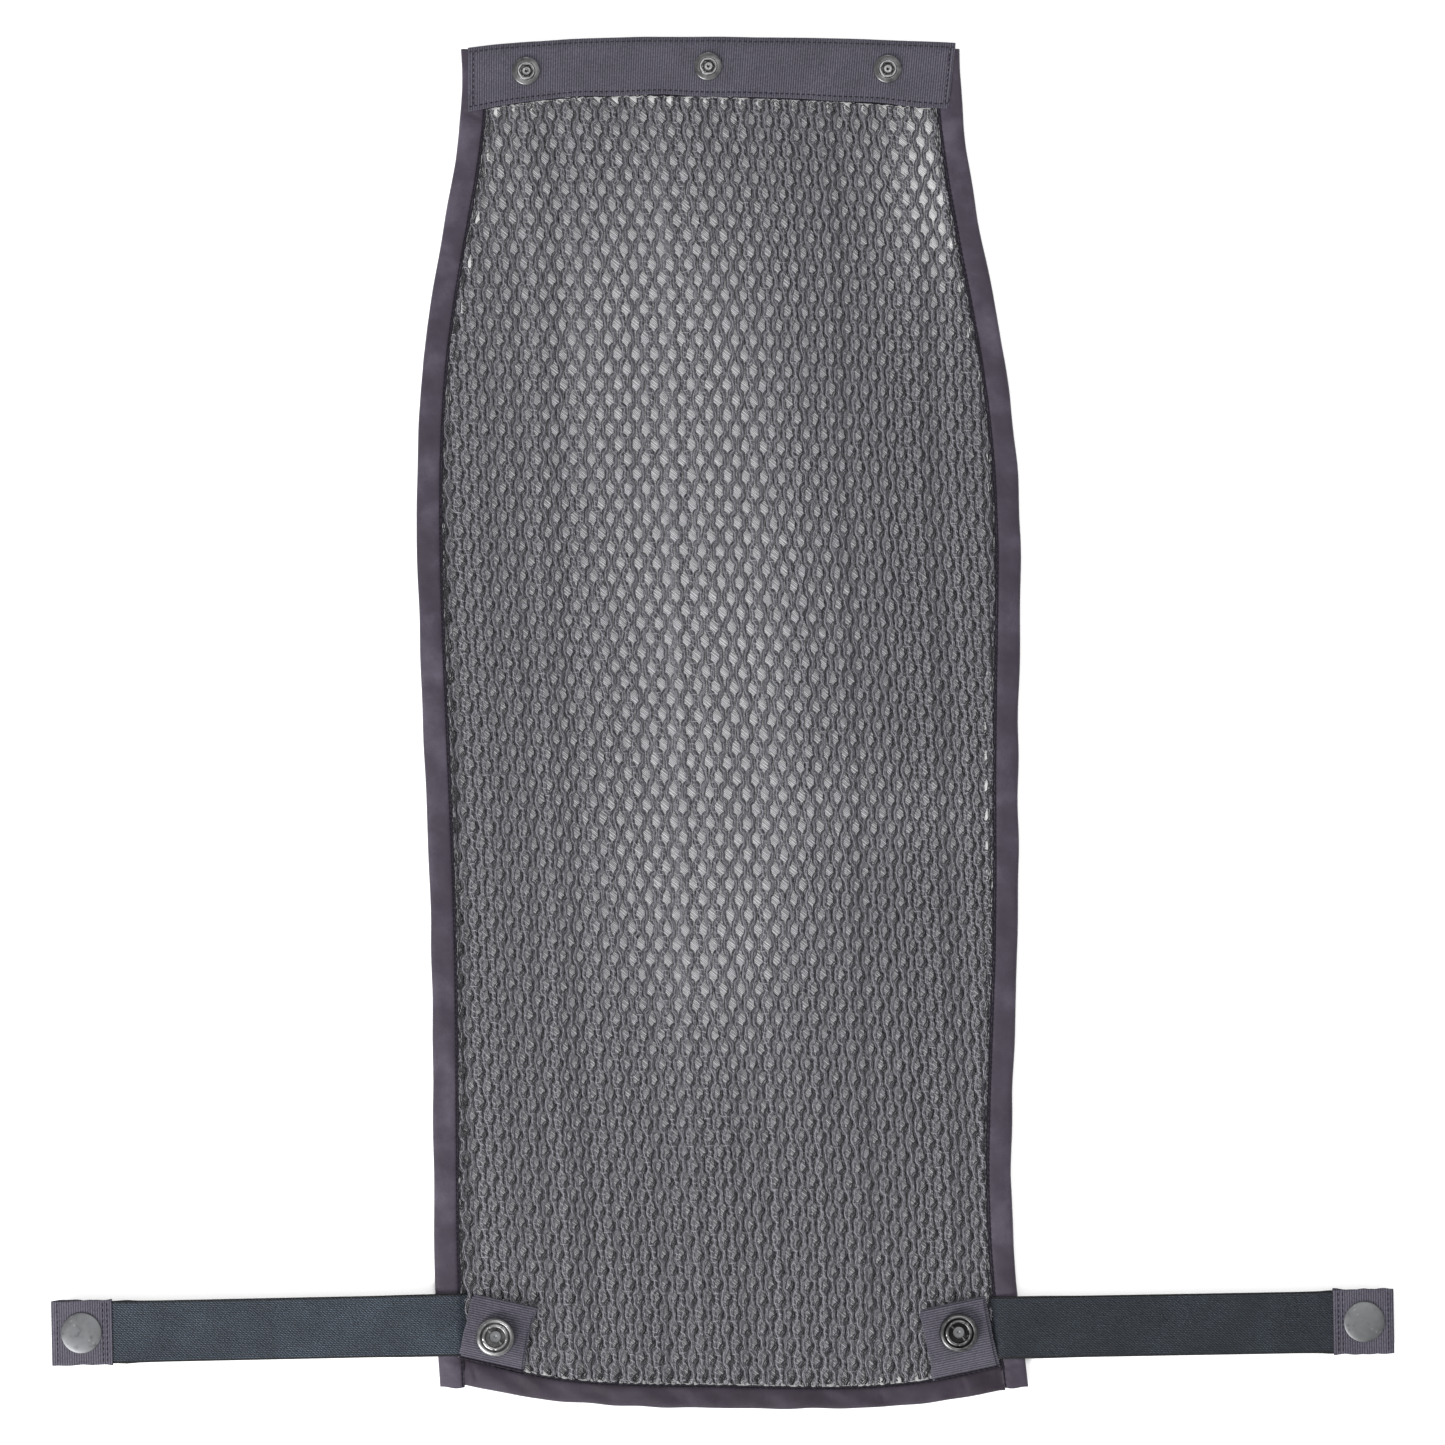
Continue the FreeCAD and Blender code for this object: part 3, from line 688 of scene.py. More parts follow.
def pile_yarns():
    """The fine yarns that hold the two nets apart, leaning where the nets lie aside."""
    wales = np.arange(FIRST_WALE, LAST_WALE + 1)
    rows = np.arange(FIRST_ROW, LAST_ROW)
    wale, row = [grid.ravel().astype(float) for grid in np.meshgrid(wales, rows)]
    row = row + random.uniform(0.0, 1.0, len(row))
    across, along = wale_place(wale, row)
    across = across + random.uniform(-0.8, 0.8, len(row))
    inside = inside_by(across, along) > 0.5
    wale, row, across, along = (values[inside] for values in (wale, row, across, along))
    far_across, far_along = wale_place(wale, row + random.uniform(-0.3, 0.3, len(row)))
    over, up = back_shift(far_across, far_along)
    top = np.stack([across, along, front_rise(across, along) - 0.2], axis=-1)
    foot = np.stack([far_across + over, far_along + up, back_rise(across, along) + 0.2], axis=-1)
    bow = random.uniform(-0.6, 0.6, (len(row), 3)) * (1, 1, 0)
    lines = np.stack([top, (top + foot) / 2 + bow, foot], axis=1)
    return [tubes(lines, PILE_RADIUS, YARN_SIDES, up=np.array([0.3, 0.9, 0.1]))]


def sheerness(x, y):
    """Where the back net's inlay is thin, from 0 to 1: towards the two top corners."""
    right = np.exp(-((x - 90.0) / 17.0) ** 2 - ((y - 215.0) / 38.0) ** 2)
    left = np.exp(-((x + 92.0) / 12.0) ** 2 - ((y - 225.0) / 26.0) ** 2)
    return np.clip(right + 0.25 * left, 0, 1)


def inlay_yarns(name, start):
    """The fine slanting yarns laid into the back net, which veil its holes."""
    slope = -0.8
    first = box_of("bottom_binding")[0][1] + slope * 125.0
    last = box_of("top_band_front")[1][1] - slope * 125.0
    starts = np.arange(first + start, last, INLAY_PITCH)[:, None]
    across = np.arange(-122.0, 122.0, 3.4)[None, :]
    phase = random.uniform(0, 2 * math.pi, starts.shape)
    along = starts + slope * across + 0.2 * np.sin(across * 0.5 + phase)
    across = across + 0 * along
    height = back_rise(across, along) - 0.42 + 0.12 * np.sin(across * 1.3 + phase * 2)
    shown = inside_by(across, along) > 0.4
    dense = 1 + 0.6 * (1 - openness(across, along)) - 0.7 * sheerness(across, along)
    radius = INLAY_RADIUS * dense[..., None, None]
    points, walls, ends, _ = tubes(np.stack([across, along, height], axis=-1), radius,
                                  YARN_SIDES, shown)
    # painted shade: the inlay is coloured darker where the nets lie aside, for the dark pits in the holes
    # there; it is also darker within about 6 mm of the edges
    inside = ease(inside_by(points[:, 0], points[:, 1]) / 6.0)
    tone = (0.4 + 0.24 * openness(points[:, 0], points[:, 1])) * (0.6 + 0.4 * inside)
    return build(name, points, [walls, ends], "inlay_yarn", tone=tone)


def make_spacer_mesh():
    """The nets, each in strips of wales, and the pile between them."""
    wales = np.arange(FIRST_WALE, LAST_WALE + 1)
    pieces = []
    for number, strip in enumerate(np.array_split(wales, 8), start=1):
        yarns = net_yarns(strip, 10, front_rise, None)
        pieces.append(joined_tubes(f"front_net_{number}", yarns, "front_yarn"))
    for number, strip in enumerate(np.array_split(wales, 2), start=1):
        wraps = wrap_yarns(strip, 12)
        pieces.append(joined_tubes(f"wrap_yarns_{number}", wraps, "wrap_yarn"))
    for number, strip in enumerate(np.array_split(wales, 4), start=1):
        yarns = net_yarns(strip, 7, back_rise, back_shift, size=0.88)
        pieces.append(joined_tubes(f"back_net_{number}", yarns, "shaded_yarn"))
    pieces.append(joined_tubes("pile_yarns", pile_yarns(), "shaded_yarn"))
    pieces.append(inlay_yarns("inlay_yarns_1", 0.0))
    pieces.append(inlay_yarns("inlay_yarns_2", INLAY_PITCH / 2))
    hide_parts("mesh_panel")
    for piece in pieces:
        ride(piece, "panel")


# ---------------------------------------------------------------- bindings

# The folded strip in section, from one turned-in hem round the outer fold to the other hem:
# its share of the way in from the panel's edge, and its height above the middle.
HALF_SECTION = (
    (0.0, 0.0), (0.012, 0.4), (0.05, 0.75), (0.13, 1.02), (0.3, 1.17), (0.5, 1.18), (0.7, 1.12),
    (0.83, 0.96), (0.9, 0.72), (0.925, 0.62), (0.955, 0.7), (0.99, 0.68), (1.0, 0.52),
    (0.97, 0.36), (0.85, 0.34), (0.6, 0.5), (0.35, 0.52),
)


def binding_section():
    """The whole section, symmetrical about the middle of the panel's thickness."""
    upper = smooth_line(np.array(HALF_SECTION) * (BINDING_WIDTH, 1.0), 0.35)
    lower = upper[:0:-1] * (1, -1)
    return np.vstack([lower, upper])


def make_binding(name, node, along_axis, outer, inner, first, last, pinch, wrinkle, tone, creases):
    """A binding along one edge: outer and inner give its edges at places along it."""
    section = binding_section()
    travelled = length_along(section)
    places = np.arange(first, last, 1.0)
    out, into = outer(places), inner(places)
    share = section[:, 0] / BINDING_WIDTH
    crown = wrinkle(places[:, None], section[None, :, 0])
    dimple = np.cos(places * 2 * math.pi / STITCH_PITCH)[:, None]
    beside_seam = np.exp(-((section[:, 0] - 8.2) / 1.5) ** 2)[None, :]
    rise = section[None, :, 1] * pinch(places)[:, None]
    faces_up = np.sign(section[:, 1])[None, :]
    loose = 4 * share * (1 - share)
    rise = rise + faces_up * (0.42 * crown * loose[None, :] - 0.1 * dimple * beside_seam)
    for crease, depth in creases:
        bent = crease + 0.8 * np.sin(share * 5.0)[None, :]
        rise = rise - faces_up * depth * np.exp(-((places[:, None] - bent) / 0.7) ** 2) * loose
    sway = 0.25 * wrinkle(places * 0.7, 40.0)[:, None] * (1 - share)[None, :]
    across = out[:, None] + (into - out)[:, None] * share[None, :] + sway
    points = np.zeros((len(places), len(section), 3))
    near_end = 1 - ease(np.minimum(places - first, last - places) / 7.0)[:, None]
    points[..., along_axis] = places[:, None] + 0.35 * near_end * np.sin(share * 5.5 + 1.0)[None, :]
    points[..., 1 - along_axis] = across
    points[..., 2] = MIDDLE_RISE + rise
    coordinates = np.zeros_like(points)
    coordinates[..., 0] = places[:, None]
    coordinates[..., 1] = travelled[None, :]
    piece = cloth_sheet(name, points, coordinates, CLOTH_THICKNESS, "binding",
                        tone)
    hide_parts(node)
    ride(piece, "panel")
    return places, out, into


def end_pinch(first, last, at_first, at_last, reach=2.0):
    """How flat a binding is pressed near its two ends."""
    def pinch(places):
        near_first = 1 - (1 - at_first) * (1 - ease((places - first) / reach))
        near_last = 1 - (1 - at_last) * (1 - ease((last - places) / reach))
        return near_first * near_last
    return pinch


def seam_line(places, out, into, share, along_axis, rise):
    """The line of a seam along a binding, at a share of the way in."""
    line = np.zeros((len(places), 3))
    line[:, along_axis] = places
    line[:, 1 - along_axis] = out + (into - out) * share
    line[:, 2] = rise
    return line


def make_stitches(name, lines, body, lift=1.0, radius=THREAD_RADIUS, gap=0.22):
    """Rows of stitches along lines, each an arch of thread between two needle holes."""
    arcs = []
    for line in lines:
        line = evenly(np.asarray(line, float), STITCH_PITCH)
        share = np.linspace(gap, 1 - gap, 6)[:, None]
        for start, end in zip(line, line[1:]):
            arc = start + (end - start) * share
            arc[:, 2] += lift * (0.3 * np.sin(math.pi * share[:, 0]) - 0.1)
            arcs.append(arc)
    piece = joined_tubes(name, [tubes(arcs, radius, 6)], "thread")
    return ride(piece, body)


def make_bindings():
    """The bindings down both sides and along the bottom, and the seams that hold them."""
    front, back = [], []
    seam = 0.93
    top, bottom = MIDDLE_RISE + 0.86, MIDDLE_RISE - 0.86
    below_band = box_of("top_band_front")[0][1] - 1.5
    strips = (
        ("left_side_binding", Y_AXIS, left_edge, left_edge.low, left_edge.high, 0.75, 0.3, 0.02,
         ((below_band, 0.7), (-249.0, 0.3), (120.0, 0.25))),
        ("right_side_binding", Y_AXIS, right_edge, right_edge.high, right_edge.low, 0.75, 0.3, -0.02,
         ((below_band, 0.35), (-251.0, 0.5))),
        # painted shade: the bottom binding's tone of -0.26 colours it darker, for its satin giving back
        # less sheen across the weave
        ("bottom_binding", X_AXIS, hem_edge, hem_edge.low, hem_edge.high, 0.5, 0.5, -0.26,
         ((-97.0, 0.5), (62.0, 0.3), (94.0, 0.5))),
    )
    for name, axis, edge, outer, inner, at_first, at_last, tone, creases in strips:
        pinch = end_pinch(edge.first, edge.last, at_first, at_last)
        wrinkle = Swell(22.0 if axis == Y_AXIS else 11.0)
        tuck = HEM_TUCK if axis == X_AXIS else 0.0
        made = make_binding(f"{name}_cloth", name, axis, outer, inner, edge.first - tuck,
                            edge.last + tuck, pinch, wrinkle, tone, creases)
        front.append(seam_line(*made, seam, axis, top))
        back.append(seam_line(*made, seam, axis, bottom))
    make_stitches("binding_seam_front", front, "panel",
                  radius=SEAM_THREAD_RADIUS, gap=0.04)
    make_stitches("binding_seam_back", back, "panel", lift=-1.0,
                  radius=SEAM_THREAD_RADIUS, gap=0.04)
    make_overlock()


def make_overlock():
    """The dark overlocking thread that shows all round the mesh, just inside its edges."""
    sides = np.arange(hem_edge.high(0) + 6, band_edge.low(0) - 4, 0.5)
    ends = np.arange(left_edge.high(-250) + 1, right_edge.low(-250) - 1, 0.5)
    top = np.arange(left_edge.high(240) + 1, right_edge.low(240) - 1, 0.5)
    sway = Swell(5.0)
    paths = [
        np.stack([left_edge.high(sides) + 0.15, sides], axis=1),
        np.stack([right_edge.low(sides) - 0.15, sides], axis=1),
        np.stack([ends, hem_edge.high(ends) + 0.15], axis=1),
        np.stack([top, band_edge.low(top) - 0.2], axis=1),
    ]
    parts = []
    for number, path in enumerate(paths):
        wander = 0.3 * sway(path[:, 0] * 2, path[:, 1] * 2 + 40 * number)
        line = np.column_stack([path + wander[:, None], 3.3 + 0.2 * wander])
        parts.append(tubes(line[None], (0.24, 0.24, 0.34, 0.26)[number], 6))
    ride(joined_tubes("overlock_thread", parts, "thread"), "panel")

    selvedge = []
    for path, way in ((paths[0], 1), (paths[1], -1)):
        for step in range(7):
            wander = 0.3 * sway(path[:, 0] + 9 * step, path[:, 1] * 1.5) + 0.35 * step
            line = np.column_stack([path[:, 0] + way * wander, path[:, 1], 2.4 - 0.1 * wander])
            selvedge.append(tubes(line[None], 0.24, 4))
    ride(joined_tubes("selvedge_yarns", selvedge, "shaded_yarn"), "panel")


# ---------------------------------------------------------------- ribbed tapes


def rib_relief(distance):
    """The relief of a ribbed tape at a distance along it."""
    return RIB_HEIGHT * (np.abs(np.sin(distance * math.pi / RIB_PITCH)) - 0.5)


def make_band_tape(name, node, facing):
    """One tape of the top band: facing is 1 for the front tape and -1 for the back one."""
    low_left, low_right = corner_of(node, -1, -1), corner_of(node, 1, -1)
    high_left, high_right = corner_of(node, -1, 1), corner_of(node, 1, 1)
    length = high_right[0] - high_left[0]
    width = high_left[1] - low_left[1]
    step = RIB_PITCH / 4
    along = np.linspace(0, 1, int(length / step) + 1)[:, None]
    across = np.concatenate([np.linspace(0, 0.12, 6), np.linspace(0.17, 0.83, 14),
                             np.linspace(0.88, 1, 6)])[None, :]
    low_x = low_left[0] + (low_right[0] - low_left[0]) * along
    high_x = high_left[0] + (high_right[0] - high_left[0]) * along
    low_y, high_y = band_edge.low(low_x), band_edge.high(high_x)
    x = low_x + (high_x - low_x) * across
    y = low_y + (high_y - low_y) * across
    ripple = Swell(26.0)
    y = y + 0.3 * ripple(x, 0 * y) * (1 - across) ** 3 + 0.15 * ripple(x, 0 * y + 50) * across**3

    from_top = (1 - across) * width
    from_bottom = across * width
    from_end = np.minimum(along, 1 - along) * length
    rise = 1.55 - 1.05 * (1 - ease(from_top / 3.5))
    rise = rise - 0.12 * np.exp(-((from_top - 1.9) / 0.6) ** 2)
    rise = rise - 0.18 * np.exp(-((from_bottom - 1.6) / 0.7) ** 2)
    rise = rise - 0.12 * np.exp(-((from_end - 2.2) / 0.7) ** 2)
    rise = rise + 0.22 * Swell(30.0)(x, y) * ease(from_end / 8) * ease(from_top / 5)
    for stud in STUDS:
        place = centre_of(f"top_stud_{stud}")
        away = np.hypot(x - place[0], y - place[1])
        held = np.exp(-(away / 6.5) ** 4)
        rise = rise * (1 - held) + 1.5 * held
    distance = along * length + 0 * across
    selvedge = ease(from_bottom / 0.7) * ease(from_top / 0.7)
    rise = rise + rib_relief(distance) * selvedge
    points = np.stack([x, y, MIDDLE_RISE + facing * rise], axis=-1)
    coordinates = np.stack([distance, across * width + 0 * along, 0 * x], axis=-1)
    if facing < 0:
        points, coordinates = points[:, ::-1], coordinates[:, ::-1]
    piece = cloth_sheet(name, points, coordinates, TAPE_THICKNESS, "ribbed")
    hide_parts(node)
    ride(piece, "panel")

    grid = points[:, ::-1] if facing < 0 else points
    outside = grid + (0, 0, facing * (TAPE_THICKNESS / 2 + 0.05))
    share = across[0]
    row_low = np.argmin(abs(share - 1.6 / width))
    row_high = np.argmin(abs(share - 1 + 1.9 / width))
    end_step = int(2.2 / step)
    lines = [outside[:, row_low], outside[:, row_high],
             outside[end_step, row_low:row_high + 1], outside[-end_step, row_low:row_high + 1]]
    return lines


def make_top_band():
    """The two tapes of the band, and the seams that join them."""
    front = make_band_tape("band_front_tape", "top_band_front", 1)
    back = make_band_tape("band_back_tape", "top_band_back", -1)
    make_stitches("band_seam_front", front, "panel")
    make_stitches("band_seam_back", back, "panel", lift=-1.0)


def fold_tape(name, profile, origin, along, width, sway=0.16, waist=(0.0, 0.0), spread=0.0):
    """A ribbed tape that follows a profile of distances and heights, folded over itself.

    The waist draws each edge in half way along, and the spread sets the upper layer's edges
    outside the lower layer's."""
    line = smooth_line(profile, RIB_PITCH / 4)
    travelled = length_along(line)
    across_direction = np.cross(UP, along)
    slope = np.gradient(line, axis=0)
    slope /= np.linalg.norm(slope, axis=1, keepdims=True)
    normal = np.stack([-slope[:, 1], slope[:, 0]], axis=1)
    share = np.concatenate([np.linspace(-1, -0.88, 4), np.linspace(-0.8, 0.8, 15),
                            np.linspace(0.88, 1, 4)])
    selvedge = ease((1 - np.abs(share)) * width / 2 / 0.7)
    edge_sway = Swell(8.0)
    nearness = np.abs(share)[None, :] ** 6
    middle = (line[:, 0].min() + line[:, 0].max()) / 2
    reach = np.ptp(line[:, 0]) / 2
    drawn = np.clip(1 - ((line[:, 0] - middle) / reach) ** 2, 0, 1)[:, None]
    draw_in = np.where(share < 0, waist[0], waist[1])[None, :] * drawn
    lower_layer = ease((travelled / travelled[-1] - 0.5) / 0.04)[:, None]
    side = width / 2 * share[None, :] + 0 * drawn
    side = side + sway * edge_sway(travelled[:, None], 30 * np.sign(share)[None, :]) * nearness
    side = side - np.sign(share)[None, :] * nearness * draw_in
    side = side + spread * nearness * (lower_layer - 0.5)
    relief = rib_relief(travelled)[:, None] * selvedge[None, :]
    distance = line[:, 0][:, None] + normal[:, 0][:, None] * relief
    height = line[:, 1][:, None] + normal[:, 1][:, None] * relief
    points = (origin * (1, 1, 0) + distance[..., None] * along
              + side[..., None] * across_direction + height[..., None] * UP)
    coordinates = np.stack([travelled[:, None] + 0 * side, side, 0 * side], axis=-1)
    piece = cloth_sheet(name, points, coordinates, TAPE_THICKNESS, "ribbed")
    return piece, travelled[-1]


# ---------------------------------------------------------------- snap fasteners


def turned(name, node, centre, profile, look, body, segments=72, facing=1.0, notches=0,
           painted_shade_within=0.0, side_light_tone=0.0):
    """A turned metal piece: profile rows are a radius, a height, how six-sided, how notched.

    Below its rim and within a radius, the metal is coloured darker, as painted shade in its hollows."""
    profile = np.asarray(profile, float)
    angle = np.arange(segments) * 2 * math.pi / segments
    to_flat = np.mod(angle, math.pi / 3) - math.pi / 6
    six_sided = math.cos(math.pi / 6) / np.cos(to_flat)
    radius = profile[:, 0][:, None] * (1 + profile[:, 2][:, None] * (six_sided - 1)[None, :])
    height = profile[:, 1][:, None] + 0 * radius
    if notches:
        cut = np.exp(-(np.sin((angle + 0.35) * notches / 2) / 0.22) ** 2)
        height = height - 0.16 * profile[:, 3][:, None] * cut[None, :]
    points = np.stack([
        centre[0] + radius * np.cos(angle),
        centre[1] + facing * radius * np.sin(angle),
        centre[2] + facing * height,
    ], axis=-1)
    rows = len(profile)
    faces = [grid_faces(rows, segments, ring=True)]
    closed_ring = np.allclose(profile[0, :2], profile[-1, :2])
    if not closed_ring:
        first_cap = np.arange(segments)[::-1]
        faces += [first_cap[None], (np.arange(segments) + (rows - 1) * segments)[None]]
    # painted shade: points below the rim and within the radius get a darker tone, for the shade in the
    # well or cavity
    in_painted_shade = (profile[:, 0] < painted_shade_within) & (profile[:, 1] < profile[:, 1].max() - 0.5)
    # painted light: the tone passed in for the snap's side makes the whole piece lighter or darker
    tone = np.repeat(side_light_tone + np.where(in_painted_shade, -0.26, 0.0), segments)
    piece = build(name, points.reshape(-1, 3), faces, look, tone=tone)
    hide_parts(node)
    return ride(piece, body)


def rounded(corners, softness):
    """A profile with each inner corner cut into a small curve: rows of radius and height."""
    made = [corners[0]]
    for before, corner, after in zip(corners, corners[1:], corners[2:]):
        before, corner, after = (np.array(point, float) for point in (before, corner, after))
        back, onward = before - corner, after - corner
        cut = min(softness, np.linalg.norm(back) * 0.45, np.linalg.norm(onward) * 0.45)
        start = corner + back / np.linalg.norm(back) * cut
        end = corner + onward / np.linalg.norm(onward) * cut
        for share in (0, 0.25, 0.5, 0.75, 1):
            made.append(tuple((1 - share) ** 2 * start + 2 * share * (1 - share) * corner
                              + share**2 * end))
    return made + [corners[-1]]


def with_sides(profile, six_sided=0.0, notched=0.0):
    """Profile rows with how six-sided and how deeply notched each is."""
    return [(radius, height, six_sided, notched) for radius, height in profile]


def make_stud(name):
    """A stud: a wide flange, a low knob with a slight waist, and a six-sided well."""
    low, high = box_of(f"top_stud_{name}")
    centre = np.array([*((low + high) / 2)[:2], low[2]])
    tall = high[2] - low[2]
    outside = rounded([(1.5, 0.0), (5.3, 0.0), (5.45, 0.15), (5.45, 0.7), (5.15, 1.0), (4.5, 1.2),
                       (3.8, 1.42), (3.68, 1.36), (3.5, 1.6), (3.42, tall - 0.14), (3.25, tall - 0.03),
                       (2.85, tall)], 0.12)
    well = rounded([(2.85, tall), (2.72, tall - 0.12), (2.66, tall - 0.5), (2.6, 0.66),
                    (1.5, 0.6)], 0.1)
    profile = (with_sides(outside[:-1]) + with_sides(well, 1.0)
               + with_sides([(1.5, 0.6), (1.5, 0.0)]))
    # painted shade: the six-sided well is coloured darker through the radius passed below
    turned(f"stud_{name}", f"top_stud_{name}", centre, profile, "gunmetal", "panel",
           painted_shade_within=2.75)


def make_eyelet(name):
    """An eyelet: a flange behind the band and a hollow barrel rolled over inside the stud."""
    low, high = box_of(f"top_eyelet_{name}")
    centre = np.array([*((low + high) / 2)[:2], low[2]])
    tall = high[2] - low[2]
    profile = rounded([(0.3, 0.1), (1.3, 0.0), (4.6, 0.02), (5.0, 0.2), (4.9, 0.5), (1.4, 0.5),
                       (1.4, tall - 0.55), (1.85, tall - 0.42), (1.85, tall - 0.12), (1.35, tall),
                       (0.6, tall - 0.02), (0.34, tall - 0.18), (0.3, 0.1)], 0.12)
    turned(f"eyelet_{name}", f"top_eyelet_{name}", centre, with_sides(profile), "gunmetal",
           "panel")


def make_socket(name, node, body, facing, side_light_tone):
    """A socket: a domed cover, a notched ring round its mouth, and the cavity for the spring."""
    low, high = box_of(node)
    foot = low[2] if facing > 0 else high[2]
    centre = np.array([*((low + high) / 2)[:2], foot])
    tall = high[2] - low[2]
    cover = rounded([(1.5, 0.0), (7.1, 0.0), (7.55, 0.3), (7.6, 1.2), (7.55, 2.2), (7.25, 2.8),
                     (6.75, tall - 0.22), (6.2, tall - 0.1), (5.85, tall - 0.22), (5.72, tall - 0.9)], 0.3)
    ring = rounded([(5.72, tall - 0.9), (5.4, tall - 0.95), (5.2, tall - 0.45), (4.8, tall - 0.2),
                    (4.3, tall - 0.18), (3.95, tall - 0.35), (3.8, tall - 1.2)], 0.22)
    inside = rounded([(3.8, tall - 1.2), (3.75, 1.5), (4.8, 1.4), (4.8, 0.62), (1.5, 0.6),
                      (1.5, 0.0)], 0.12)
    profile = with_sides(cover) + with_sides(ring[1:], notched=1.0) + with_sides(inside[1:])
    # painted shade: the cavity inside the ring is coloured darker through the radius passed below
    return turned(name, node, centre, profile, "gunmetal", body,
                  segments=120, facing=facing, notches=5, painted_shade_within=5.75, side_light_tone=side_light_tone)


def make_cap(name, node, body, facing):
    """A cap: a smooth low dome, and the barrel that is rolled over inside the socket."""
    low, high = box_of(node)
    rim = high[2] - 1.3 if facing > 0 else low[2] + 1.3
    centre = np.array([*((low + high) / 2)[:2], rim])
    deep = (high[2] - low[2]) - 1.3
    dome = [(8.0 * math.cos(step * math.pi / 24), 0.3 + math.sin(step * math.pi / 24))
            for step in range(1, 12)]
    profile = rounded([(0.1, -deep + 0.3), (0.35, -deep + 0.25), (0.7, -deep + 0.05),
                       (1.9, -deep), (2.3, -deep + 0.1), (2.4, -deep + 0.42), (1.42, -deep + 0.52),
                       (1.42, 0.0), (7.7, 0.0), (8.0, 0.15), *dome, (0.1, 1.3)], 0.2)
    return turned(name, node, centre, with_sides(profile), "satin", body,
                  segments=120, facing=facing)


def make_spring(name, node, body, centre):
    """The open wire ring inside a socket, its two ends bent a little inwards."""
    low, high = box_of(node)
    angle = np.linspace(math.radians(15), math.radians(345), 56)
    radius = 4.15 - 0.5 * np.maximum(0, np.abs(angle - math.pi) - 2.55) * 2
    line = np.stack([centre[0] + radius * np.cos(angle), centre[1] + radius * np.sin(angle),
                     0 * angle + (low[2] + high[2]) / 2], axis=-1)
    piece = joined_tubes(name, [tubes(line[None], 0.35, 10)], "wire")
    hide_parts(node)
    return ride(piece, body)


def make_snap(prefix, body, socket_facing):
    """The socket, spring and cap that are pressed together through a tab."""
    socket = f"{prefix}_socket"
    # painted light: the left snap is coloured lighter and the right one darker, for the light falling from
    # the lower left
    side_light_tone = 0.14 if prefix.startswith("left") else -0.12
    make_socket(f"{socket}_cover", socket, body, socket_facing, side_light_tone)
    make_cap(f"{prefix}_cap_dome", f"{prefix}_cap", body, -socket_facing)
    make_spring(f"{prefix}_ring", f"{prefix}_spring", body, centre_of(socket))


# ---------------------------------------------------------------- corner tabs and straps


def make_corner_tab(side):
    """A tape folded double: sewn into the bottom seam, with a socket through it."""
    root, across = joint_of(f"{side}_tab_lift")
    up_tab = np.cross(UP, across)
    _, length = reach_of(f"{side}_tab_loop", root, up_tab)
    left, right = reach_of(f"{side}_tab_loop", root, across)
    origin = root + across * (left + right) / 2
    profile = [(-1.0, 3.5), (1.5, 3.95), (4.0, 4.75), (7.5, 5.15), (12.0, 5.2), (length - 2.2, 5.2),
               (length - 0.9, 5.25), (length - 0.25, 5.6), (length - 0.9, 5.95),
               (length - 2.2, 6.03), (12.0, 6.05), (7.5, 5.98), (4.0, 5.5), (1.5, 4.6), (-1.0, 4.0)]
    waist, spread = ((1.1, 0.1), 0.9) if side == "left" else ((0.3, 0.3), 1.3)
    piece, total = fold_tape(f"{side}_tab_tape", profile, origin, up_tab, right - left,
                             waist=waist, spread=spread)
    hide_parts(f"{side}_tab_loop")
    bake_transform(piece)
    make_snap(f"{side}_tab", f"{side}_tab", 1.0)
    foot = [(*(origin - up_tab * 0.8 + across * reach)[:2], 4.35)
            for reach in np.linspace(left - right, right - left, 9) / 2]
    make_stitches(f"{side}_tab_seam", [foot], "panel", radius=0.4, gap=0.0)


def elastic_part(name, profile, origin, along, width, meets, tone):
    """A stretch of the flat elastic, with a firm cord along each edge.

    It meets the other stretch at its start (0) or its end (-1), where their weaves join."""
    line = smooth_line(profile, 0.8)
    travelled = length_along(line)
    along_cloth = travelled - travelled[meets]
    across_direction = np.cross(UP, along)
    slope = np.gradient(line, axis=0)
    slope /= np.linalg.norm(slope, axis=1, keepdims=True)
    half = width / 2
    flat = np.linspace(-1, 1, 25)
    cord = 0.14 * np.exp(-((np.abs(flat) - 0.95) / 0.035) ** 2)
    top = np.stack([flat * (half - 0.3), 0.46 + cord], axis=1)
    round_edge = [(half - 0.08, 0.38), (half, 0.0), (half - 0.08, -0.38)]
    section = np.vstack([top, round_edge, (top * (1, -1))[::-1], [(-x, -z) for x, z in round_edge]])
    count = len(section)
    lean = np.stack([-slope[:, 1], slope[:, 0]], axis=1)
    distance = line[:, 0][:, None] + lean[:, 0][:, None] * section[None, :, 1]
    height = line[:, 1][:, None] + lean[:, 1][:, None] * section[None, :, 1]
    loose = ease((line[:, 0] - 14.0) / 20.0) * ease((132.0 - line[:, 0]) / 20.0)
    bulge = 1 - 0.015 * loose + 0.02 * np.exp(-((line[:, 0] - 128.0) / 3.0) ** 2)
    side = section[None, :, 0] * bulge[:, None] + 0 * distance
    points = (origin * (1, 1, 0) + distance[..., None] * along
              + side[..., None] * across_direction + height[..., None] * UP)
    first_end = np.arange(count)[::-1]
    last_end = np.arange(count) + (len(line) - 1) * count
    faces = [grid_faces(len(line), count, ring=True), first_end[None], last_end[None]]
    coordinates = np.stack([along_cloth[:, None] + 0 * side, side, 0 * side], axis=-1)
    piece = build(name, points.reshape(-1, 3), faces, "elastic",
                  cloth=coordinates.reshape(-1, 3), tone=tone)
    return piece, travelled[-1]


